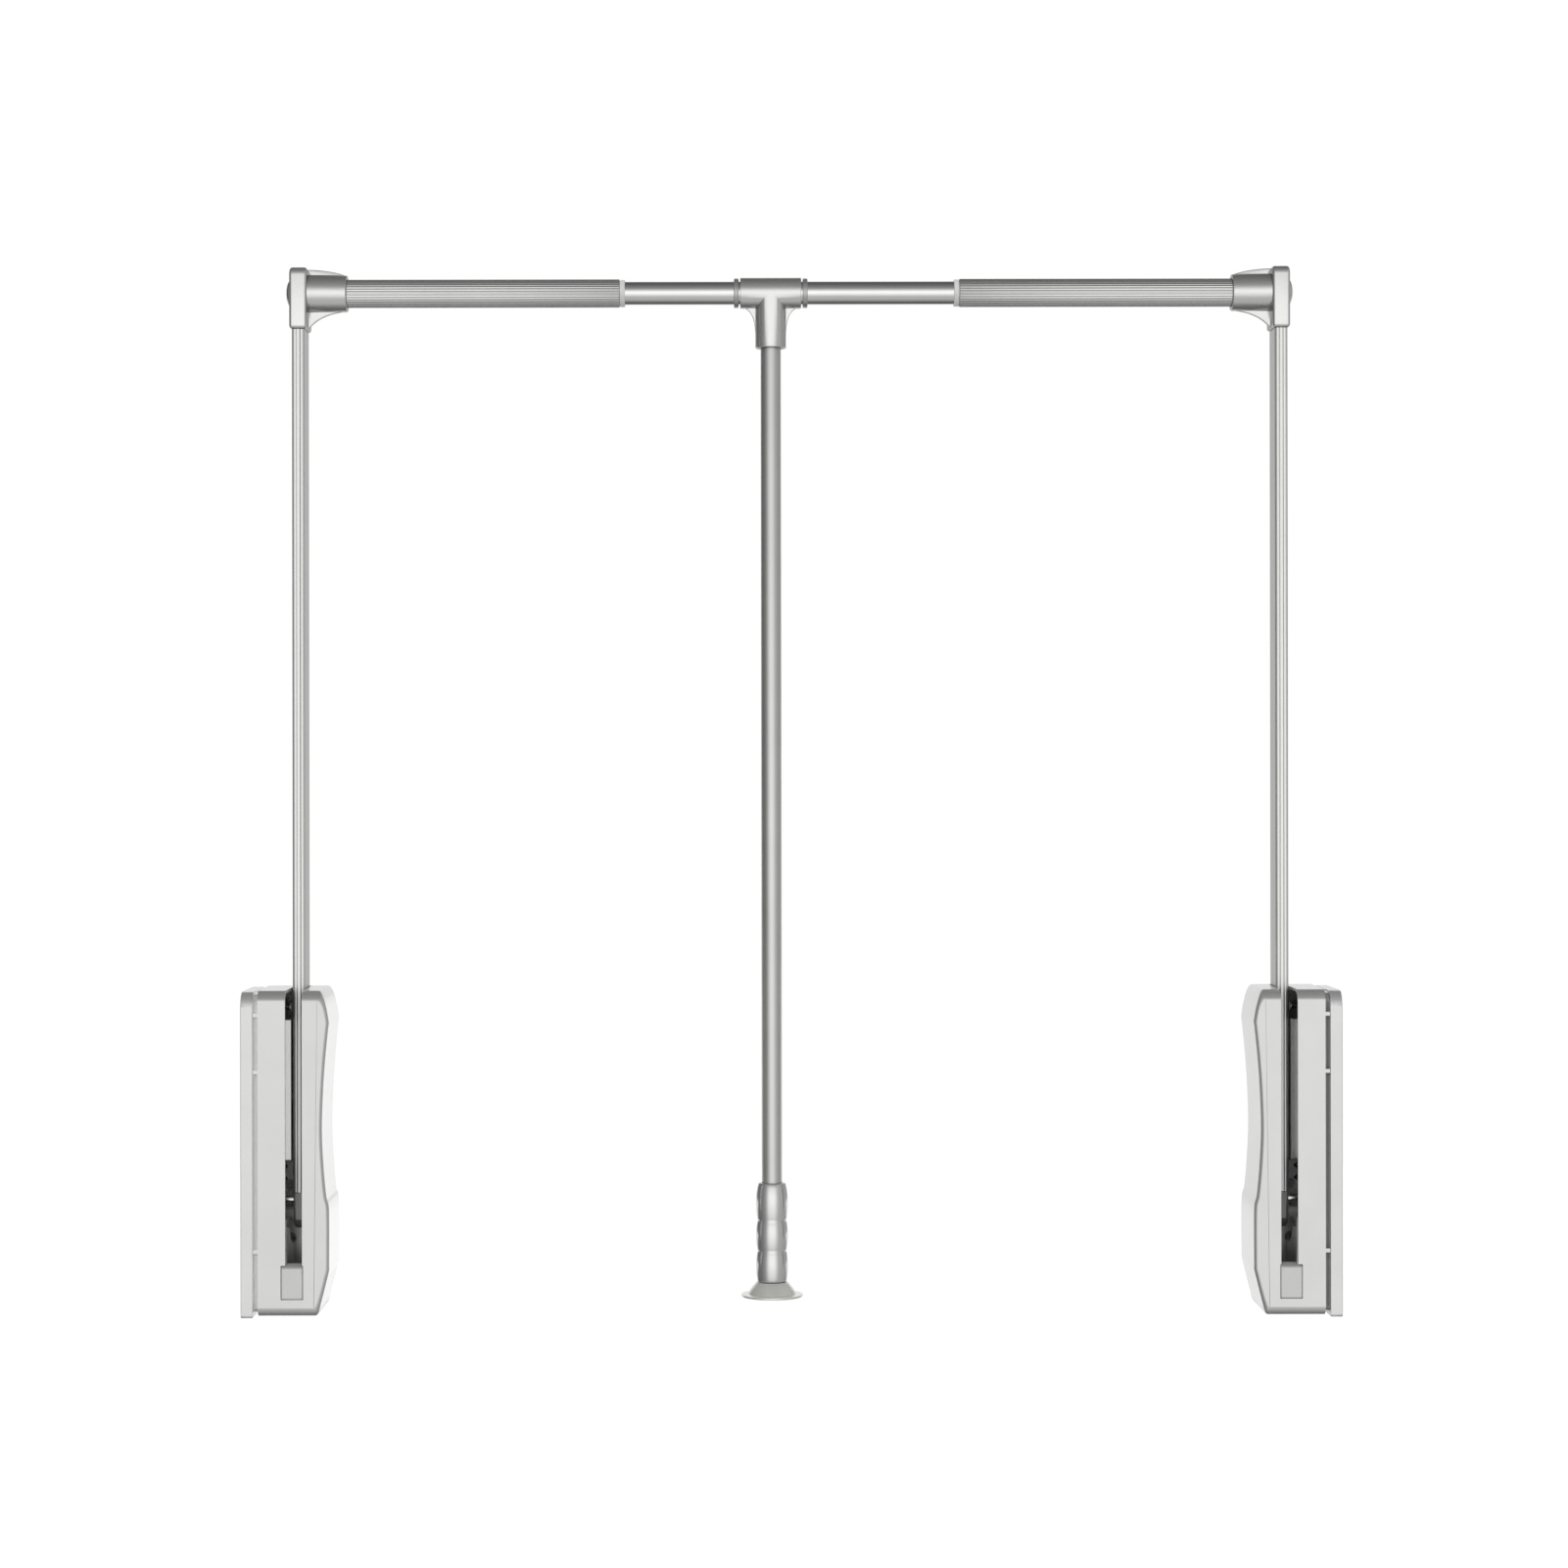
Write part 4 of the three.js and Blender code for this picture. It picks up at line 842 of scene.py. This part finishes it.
def wire(points, radius, sides=10):
    """A round wire along points, without a twist."""
    turns = [FULL_TURN * k / sides for k in range(sides)]
    rings = []
    normal = Vector((1, 0, 0))
    for i, point in enumerate(points):
        tangent = (points[min(i + 1, len(points) - 1)] - points[max(i - 1, 0)]).normalized()
        normal = (normal - tangent * normal.dot(tangent)).normalized()
        side = tangent.cross(normal)
        rings.append([point + (normal * math.cos(turn) + side * math.sin(turn)) * radius for turn in turns])
    return smoothed(skinned("wire", rings, capped=True), angle=60)


def spring_path(length):
    """The wire's middle line from one hook's end to the other's, up from the first hook's middle."""
    hook_steps, curl_steps, link_steps = 24, 20, 5
    hook_start, hook_end = math.radians(130), math.radians(410)
    hook = []
    for i in range(hook_steps + 1):
        angle = hook_start + (hook_end - hook_start) * i / hook_steps
        hook.append(Vector((0, HOOK * math.cos(angle), HOOK * math.sin(angle))))
    steps = CURLS * curl_steps
    coil = []
    for i in range(steps + 1):
        angle = FULL_TURN * CURLS * i / steps
        rise = LEAD + (length - 2 * LEAD) * i / steps
        coil.append(Vector((COIL * math.sin(angle), COIL * math.cos(angle), rise)))
    first = hook[-1]
    knots = [first, Vector((0, first.y / 2, (first.z + LEAD) / 2)),
             Vector((-COIL / 2, COIL / 2, LEAD - 2 * WIRE)), coil[0]]
    link = [spline(*neighbours(knots, i), k / link_steps) for i in range(len(knots) - 1)
            for k in range(1, link_steps)]
    low = [*hook, *link]
    high = [Vector((-p.x, p.y, length - p.z)) for p in reversed(low)]
    return [*low, *coil, *high]


def return_spring():
    across, up = -CRANK[0], ANCHOR_HEIGHT - CRANK[1]
    body = wire(spring_path(math.hypot(across, up)), WIRE)
    turn = Matrix.Rotation(-math.atan2(across, up), 4, "X")
    body.data.transform(Matrix.Translation((SPRING_PLACE, *CRANK)) @ turn)
    return body


left_spring = return_spring()
right_spring = mirrored(left_spring)
springs = (("left", left_spring, SPRING_PLACE), ("right", right_spring, SPAN - SPRING_PLACE))
for side, spring, reach in springs:
    placed(spring, f"{side}_return_spring")
    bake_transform(spring)


# Arms, brackets and rail

ON_RAIL = (0, 0, RAIL_HEIGHT)
ARM_HEIGHTS = (18.0, 706.5)
ARM_BORE_SHARES = (0.7, 0.88)
BLOCK_HALF_DEPTH = 17.0
BLOCK_EDGE = 2.4
BLOCK_RADII = (2.8, 2.8, 6.4, 6.4)
WEB_HALF = 1.8
WEB_EDGE = 0.7
WEB_INSIDE = 12.0
WEB_END_HEIGHT = 14.3
SPIGOT_FOOT = 678.8
SPIGOT_INSET = 1.8
SMOOTH_TUBE = 9.45
SMOOTH_BORE = 8.25
SLIDE_BORE = 9.75
TUBE_EASE = 0.5


def arm_tube():
    """A grooved tube with an oval bore, open at both ends."""
    outer = grooved()
    width_share, depth_share = ARM_BORE_SHARES
    inner = [(ARM_CENTRE + (u - ARM_CENTRE) * width_share, v * depth_share) for u, v in outer]
    low, high = ARM_HEIGHTS
    rings = [[(u, v, height) for u, v in ring]
             for ring, height in ((outer, low), (outer, high), (inner, high), (inner, low))]
    return smoothed(skinned("arm", rings, looped=True))


def corner_bracket():
    """An upright block with a hollow boss for the rail's tube, two curved webs and a spigot in the arm."""
    x0, x1 = BLOCK_SIDES
    z0, z1 = BLOCK_HEIGHTS
    boss_root, boss_side, boss_tip = 15.3, 15.2, 14.6
    boss_bore, bore_floor = 11.55, 64
    outline = rounded_box(-BLOCK_HALF_DEPTH, BLOCK_HALF_DEPTH, z0, z1, BLOCK_RADII)
    body = slab(outline, "X", x0, x1, BLOCK_EDGE, 6)
    rim = eased([(boss_side, 50), (boss_tip, BOSS_END), (boss_bore, BOSS_END)], 1.0)[1:]
    profile = [(0, ARM_CENTRE), (boss_root, ARM_CENTRE), *rim, (boss_bore, bore_floor), (0, bore_floor)]
    boss = turned(profile, "X", ON_RAIL)
    web_end = BOSS_END - 1
    inside_top, inside_low = RAIL_HEIGHT + WEB_INSIDE, RAIL_HEIGHT - WEB_INSIDE
    top_curve = bend((x1, z1 - 0.6), (67, z1 - 1), (web_end, RAIL_HEIGHT + WEB_END_HEIGHT), 10)
    low_curve = bend((web_end, RAIL_HEIGHT - WEB_END_HEIGHT), (58, RAIL_HEIGHT - 16.4), (x1, z0 + 1.4), 12)
    upper = [(ARM_CENTRE, z1 - 2), *top_curve, (web_end, inside_top), (ARM_CENTRE, inside_top)]
    lower = [(ARM_CENTRE, z0 + 1.4), (ARM_CENTRE, inside_low), (web_end, inside_low), *low_curve]
    webs = [slab(list(reversed(web)), "Y", -WEB_HALF, WEB_HALF, WEB_EDGE, 3) for web in (upper, lower)]
    spigot = slab(oval(SPIGOT_INSET), "Z", SPIGOT_FOOT, z0 + 5)
    joined(body, boss, *webs, spigot)
    return smoothed(body, angle=30)


def cap_screw():
    """A domed screw through the bracket's block into the boss, with a hexagon socket."""
    head, rim, dome = 11, 0.25, 4
    shank, end, ease = 4, 60.7, 0.3
    seat = BLOCK_SIDES[0] - GAP
    turns = [QUARTER_TURN * i / 10 for i in range(10)]
    curve = [(head * math.sin(angle), seat - dome * math.cos(angle)) for angle in turns]
    body = turned([*curve, (head, seat - rim), (head - ease, seat), (shank, seat), (shank, end - ease),
                   (shank - ease, end), (0, end)], "X", ON_RAIL, 64)
    socket, socket_start, socket_end = 3, 28, 33.1
    carved(body, turned(stepped(socket_start, (socket, socket_end)), "X", ON_RAIL, 6))
    return smoothed(body, angle=30)


def rail_tube():
    """The outer tube of the rail, with fine flutes all round and a slightly drawn in mouth."""
    flutes, per_flute = 36, 8
    crest, bore = 11.25, 10.05
    depth, roundness = 0.3, 0.7
    mouth, mouth_share = 0.4, 0.975
    start, end = RAIL_TUBE
    outer, inner = [], []
    for k in range(flutes * per_flute):
        angle = FULL_TURN * k / (flutes * per_flute)
        radius = crest - depth * (0.5 - 0.5 * math.cos(flutes * angle)) ** roundness
        outer.append((radius * math.cos(angle), radius * math.sin(angle)))
        inner.append((bore * math.cos(angle), bore * math.sin(angle)))
    rings = [[(x, u * share, v * share + RAIL_HEIGHT) for u, v in ring]
             for ring, x, share in ((outer, start, 1.0), (outer, end - mouth, 1.0), (outer, end, mouth_share),
                                    (inner, end, 1.0), (inner, start, 1.0))]
    return smoothed(skinned("rail", rings, looped=True), angle=40)


def telescope_bush():
    """The guide in the fluted tube's mouth: a thin barrel inside it and a ring in front."""
    bore, barrel, ring = 9.6, 9.75, 10.8
    start, end = 286, 302.3
    face = RAIL_TUBE[1] + GAP
    profile = [(bore, start), (barrel, start), (barrel, face), (ring, face), (ring, end), (bore, end)]
    return smoothed(turned(ring_profile(profile, TUBE_EASE), "X", ON_RAIL))


def inner_tube():
    start, end = 164, 674
    profile = ring_profile(sleeve(SMOOTH_BORE, SMOOTH_TUBE, start, end), TUBE_EASE)
    return smoothed(turned(profile, "X", ON_RAIL))


def collar(turn):
    """A collar on one side of the tee."""
    outer, near, far, ease = 11.9, 25.6, 29.5, 0.9
    start, end = sorted(TEE_CENTRE + turn * reach for reach in (near, far))
    return smoothed(turned(ring_profile(sleeve(SLIDE_BORE, outer, start, end), ease), "X", ON_RAIL))


both_sides(arm_tube(), "arm_tube")
both_sides(corner_bracket(), "corner_bracket")
both_sides(cap_screw(), "cap_screw")
both_sides(rail_tube(), "rail_tube")
both_sides(telescope_bush(), "telescope_bush")
carried(inner_tube(), "inner_tube")
# The collars get the darker copy of the casting finish as painted shade.
for side, turn in (("left", -1), ("right", 1)):
    carried(collar(turn), f"{side}_collar").data.materials[0] = RING_PAINTED_SHADE


# Pull handle

UNDER_TEE = (TEE_CENTRE, 0, 0)
ON_TEE = (TEE_CENTRE, 0, RAIL_HEIGHT)
TEE = 12.3
SET_SCREW_PLACE = (TEE_CENTRE, 0, RAIL_HEIGHT - 32)


def tee_piece():
    """A sleeve on the smooth tube and a socket for the pull rod, with a curved web on both sides."""
    half, end_radius, mouth, ease = 24.35, 11.2, 9, 1.2
    low, high = RAIL_HEIGHT - 44.3, RAIL_HEIGHT - GAP
    along = axis_profile([(end_radius, -half), (TEE, -half), (TEE, half), (end_radius, half)], ease)
    down = axis_profile([(mouth, low), (TEE, low), (TEE, high)], ease)
    body = turned(along, "X", ON_TEE)
    socket = turned(down, "Z", UNDER_TEE)
    web_reach, web_half, web_edge = 23.35, 1.5, 0.6
    top, tip, corner, foot = (RAIL_HEIGHT - drop for drop in (6, 11.1, 13.5, 34))
    left = [(-web_reach, top), *bend((-web_reach, tip), (-TEE, corner), (-TEE, foot), 12)]
    web = [(TEE_CENTRE + u, v) for u, v in [*left, *[(-u, v) for u, v in reversed(left)]]]
    joined(body, socket, slab(web, "Y", -web_half, web_half, web_edge, 3))
    hole, hole_start, hole_end = 2.8, 8.15, 14.3
    carved(
        body,
        turned(stepped(-half - OVER, (SLIDE_BORE, half + OVER)), "X", ON_TEE),
        turned(stepped(low - OVER, (ROD_SEAT, RAIL_HEIGHT - SMOOTH_TUBE)), "Z", UNDER_TEE),
        turned(stepped(hole_start, (hole, hole_end)), "Y", SET_SCREW_PLACE, 32),
    )
    return smoothed(body, angle=30)


def set_screw():
    radius, ease = 2.5, 0.4
    hexagon, hexagon_start, hexagon_end = 1.2, 10.8, 15
    body = turned(eased(stepped(ROD_SEAT, (radius, TEE)), ease), "Y", SET_SCREW_PLACE, 32)
    carved(body, turned(stepped(hexagon_start, (hexagon, hexagon_end)), "Y", SET_SCREW_PLACE, 6))
    return smoothed(body, angle=30)


def pull_rod():
    radius, bore = 8.15, 6.95
    start, end = -53, 720.4
    return smoothed(turned(ring_profile(sleeve(bore, radius, start, end), TUBE_EASE), "Z", UNDER_TEE))


def grip():
    """Three barrels with waists between them."""
    top, low = 23.8, -55.4
    bulge, waist, first_waist = 13.0, 11.7, 11.1
    roundness, samples, ease = 0.8, 16, 0.3
    joints = [top - 0.8, -6.3, -30.45, low]
    profile = [(ROD_SEAT, top), (10.1, top), (10.8, top - ease)]
    for i in range(3):
        for k in range(samples):
            share = k / samples
            start = first_waist if i == 0 and share < 0.5 else waist
            radius = start + (bulge - start) * math.sin(math.pi * share) ** roundness
            profile.append((radius, joints[i] + (joints[i + 1] - joints[i]) * share))
    profile += [(waist, low + ease), (11.3, low), (ROD_SEAT, low), (ROD_SEAT, top)]
    return smoothed(turned(profile, "Z", UNDER_TEE), angle=40)


def grip_foot():
    """A bell on a thin disc, with a plug up into the rod and a recess for the screw."""
    top = -55.7
    skirt = top - 9
    disc_top = skirt - 0.7
    under = disc_top - 1.9
    plug, plug_top, ease = 6.65, top + 26, 0.3
    disc, recess, screw_seat, screw_bore = 24.8, 9, 4.5, 2.5
    recess_top, seat, bore_end = under + 1, under + 3.5, under + 24.3
    bell = bend((12.5, top), (16.6, top - 4.2), (19.4, skirt), 12)
    upper_rim = bend((disc - 0.4, disc_top), (disc, disc_top), (disc, disc_top - 0.9), 4)
    lower_rim = bend((disc, disc_top - 1.0), (disc, under), (disc - 0.8, under), 4)
    profile = [
        (0, plug_top), (plug - ease, plug_top), (plug, plug_top - ease), (plug, top), (12, top), *bell,
        (19.6, skirt - ease), (disc - 0.6, disc_top), *upper_rim, *lower_rim, (17.9, under),
        (recess, recess_top), (screw_seat, recess_top), (screw_seat, seat), (screw_bore, seat),
        (screw_bore, bore_end), (0, bore_end),
    ]
    return smoothed(turned(profile, "Z", UNDER_TEE, 128), angle=35)


def foot_screw():
    low, length, shank = -66.3, 22, 2.2
    head, head_height = 4.2, 2.2
    profile = stepped(low, (head, low + head_height), (shank, low + length))
    return smoothed(turned(eased(profile, 0.5, 3), "Z", UNDER_TEE, 48))


carried(tee_piece(), "tee_piece")
carried(set_screw(), "rod_set_screw")
carried(pull_rod(), "pull_rod").data.materials[0] = SATIN_ROD
carried(grip(), "grip")
carried(grip_foot(), "grip_foot")
carried(foot_screw(), "foot_screw")


# Camera, ground and light

PATCH_LEVELS = ((0.0, 1.42), (0.05, 1.36), (0.142, 1.0), (0.2, 0.73), (0.27, 0.52), (0.335, 0.37),
                (0.465, 0.26), (0.65, 0.16), (0.75, 0.13), (1.0, 0.13))
PATCH_SPREAD = 0.5
PATCH_WIDTH = 1.1
PATCH_AHEAD = 0.97
PATCH_HEIGHT = 0.05
PATCH_BELOW = -0.6
SIDE_LIGHT = 0.3
SIDE_SLOPE = (1.8, -0.7)
GROUND_LIGHT = 0.3
DOWN_SLOPE = (-3.0, -1.75)
AHEAD_SLOPE = (-1.4, 0.42)
BACKDROP_SLOPE = (7.0, -4.83)
EVEN_LIGHT = 0.95
FLOOR_HEIGHT = -1.12
FLOOR_CORNERS = ((-9, -7), (10, -7), (10, 10), (-9, 10))
FLOOR_GREY = 0.6
FLOOR_GLOW = 1.12
FLOOR_GLOW_SHARE = 0.88
FAR_SLOPE = (0.43, -0.96)
LAMP_AIM = (0.43, 0, 0.35)
LAMPS = (("front lamp", (-0.6, -2.6, 1.9), 2.2, 22), ("right lamp", (2.3, -1.8, 1.2), 1.6, 9),
         ("back lamp", (0.4, 2.4, 1.6), 2.2, 12))
CAMERA_PLACE = (0.395, -2.732, 0.3514)
CAMERA_TURN = (math.pi / 2, 0.0015, 0)
CAMERA_LENS = 78.25
CAMERA_SHIFT = (0.02717, -0.00656)
SENSOR_WIDTH = 36.0


def graded(tree, share, stops):
    """Grey levels at places along a ramp."""
    ramp = tree.nodes.new("ShaderNodeValToRGB")
    ends = ramp.color_ramp.elements
    for end, (position, level) in ((ends[0], stops[0]), (ends[1], stops[-1])):
        end.position = position
        end.color = (level, level, level, 1)
    for position, level in stops[1:-1]:
        ends.new(position).color = (level, level, level, 1)
    tree.links.new(share, ramp.inputs["Fac"])
    return ramp.outputs["Color"]


def seen_plainly(tree, path):
    return math_node(tree, "MAXIMUM", path.outputs["Is Camera Ray"], path.outputs["Is Transmission Ray"])


def studio_level(tree, place):
    """A bright patch in front that fades to dark sides, with some light from the right and the ground."""
    x, y, z = (place[key] for key in "XYZ")
    above = math_node(tree, "ADD", z, -PATCH_HEIGHT)
    spot = tree.nodes.new("ShaderNodeCombineXYZ")
    across = math_node(tree, "MULTIPLY", math_node(tree, "MULTIPLY", x, x), PATCH_WIDTH)
    tree.links.new(across, spot.inputs["X"])
    tree.links.new(math_node(tree, "ADD", y, PATCH_AHEAD), spot.inputs["Y"])
    below = math_node(tree, "MULTIPLY", above, PATCH_BELOW)
    tree.links.new(math_node(tree, "MAXIMUM", above, below), spot.inputs["Z"])
    reach = node(tree, "ShaderNodeVectorMath", operation="LENGTH")
    tree.links.new(spot.outputs["Vector"], reach.inputs[0])
    patch = graded(tree, math_node(tree, "MULTIPLY", reach.outputs["Value"], PATCH_SPREAD), PATCH_LEVELS)
    ground = math_node(tree, "MULTIPLY", slope(tree, z, *DOWN_SLOPE), slope(tree, y, *AHEAD_SLOPE))
    ground = math_node(tree, "MULTIPLY", ground, GROUND_LIGHT)
    beside = math_node(tree, "MULTIPLY", slope(tree, x, *SIDE_SLOPE), SIDE_LIGHT)
    return math_node(tree, "ADD", math_node(tree, "ADD", patch, ground), beside)


def studio_world():
    """The camera sees white, mirrored rays see the studio with white behind it, and diffuse light is even."""
    world = bpy.data.worlds.new("studio")
    bpy.context.scene.world = world
    world.use_nodes = True
    tree = world.node_tree
    tree.nodes.clear()
    place = split(tree, tree.nodes.new("ShaderNodeTexCoord").outputs["Generated"])
    soft = tree.nodes.new("ShaderNodeBackground")
    tree.links.new(studio_level(tree, place), soft.inputs["Color"])
    even = node(tree, "ShaderNodeBackground", Color=(EVEN_LIGHT, EVEN_LIGHT, EVEN_LIGHT, 1))
    plain = node(tree, "ShaderNodeBackground", Color=(1, 1, 1, 1))
    path = tree.nodes.new("ShaderNodeLightPath")
    lit = mixed(tree, path.outputs["Is Diffuse Ray"], soft.outputs["Background"], even.outputs["Background"])
    backdrop = slope(tree, place["Y"], *BACKDROP_SLOPE)
    mirrored_part = math_node(tree, "MULTIPLY", path.outputs["Is Glossy Ray"], backdrop)
    seen = math_node(tree, "MAXIMUM", seen_plainly(tree, path), mirrored_part)
    out = tree.nodes.new("ShaderNodeOutputWorld")
    tree.links.new(mixed(tree, seen, lit, plain.outputs["Background"]), out.inputs["Surface"])


def pale_floor():
    """A pale ground that keeps the shadow, and that mirrored rays see only far behind the object."""
    mesh = bpy.data.meshes.new("floor")
    mesh.from_pydata([(*corner, FLOOR_HEIGHT) for corner in FLOOR_CORNERS], [], [(0, 1, 2, 3)])
    floor = linked("floor", mesh)
    made = bpy.data.materials.new("pale_floor")
    made.use_nodes = True
    tree = made.node_tree
    tree.nodes.clear()
    diffuse = node(tree, "ShaderNodeBsdfDiffuse", Color=(FLOOR_GREY, FLOOR_GREY, FLOOR_GREY, 1))
    glow = node(tree, "ShaderNodeEmission", Strength=FLOOR_GLOW)
    clear = tree.nodes.new("ShaderNodeBsdfTransparent")
    path = tree.nodes.new("ShaderNodeLightPath")
    mirrored_ray = path.outputs["Is Glossy Ray"]
    place = split(tree, tree.nodes.new("ShaderNodeTexCoord").outputs["Object"])
    far = slope(tree, place["Y"], *FAR_SLOPE)
    seen = math_node(tree, "MULTIPLY", seen_plainly(tree, path), FLOOR_GLOW_SHARE)
    share = math_node(tree, "MAXIMUM", seen, mirrored_ray)
    near = math_node(tree, "MULTIPLY", mirrored_ray, math_node(tree, "SUBTRACT", 1.0, far))
    shown = mixed(tree, share, diffuse.outputs["BSDF"], glow.outputs["Emission"])
    out = tree.nodes.new("ShaderNodeOutputMaterial")
    tree.links.new(mixed(tree, near, shown, clear.outputs["BSDF"]), out.inputs["Surface"])
    floor.data.materials.append(made)


def soft_lamp(name, location, size, power):
    data = bpy.data.lights.new(name, "AREA")
    data.shape = "DISK"
    data.size = size
    data.energy = power
    lamp = linked(name, data)
    lamp.location = location
    lamp.rotation_mode = "QUATERNION"
    lamp.rotation_quaternion = (Vector(LAMP_AIM) - Vector(location)).to_track_quat("-Z", "Y")
    lamp.visible_glossy = False
    lamp.visible_camera = False


def camera():
    data = bpy.data.cameras.new("camera")
    data.sensor_width = SENSOR_WIDTH
    data.lens = CAMERA_LENS
    data.shift_x, data.shift_y = CAMERA_SHIFT
    eye = linked("camera", data)
    eye.location = CAMERA_PLACE
    eye.rotation_euler = CAMERA_TURN
    bpy.context.scene.camera = eye


studio_world()
pale_floor()
for lamp in LAMPS:
    soft_lamp(*lamp)
camera()
bpy.context.scene.view_settings.view_transform = "Standard"
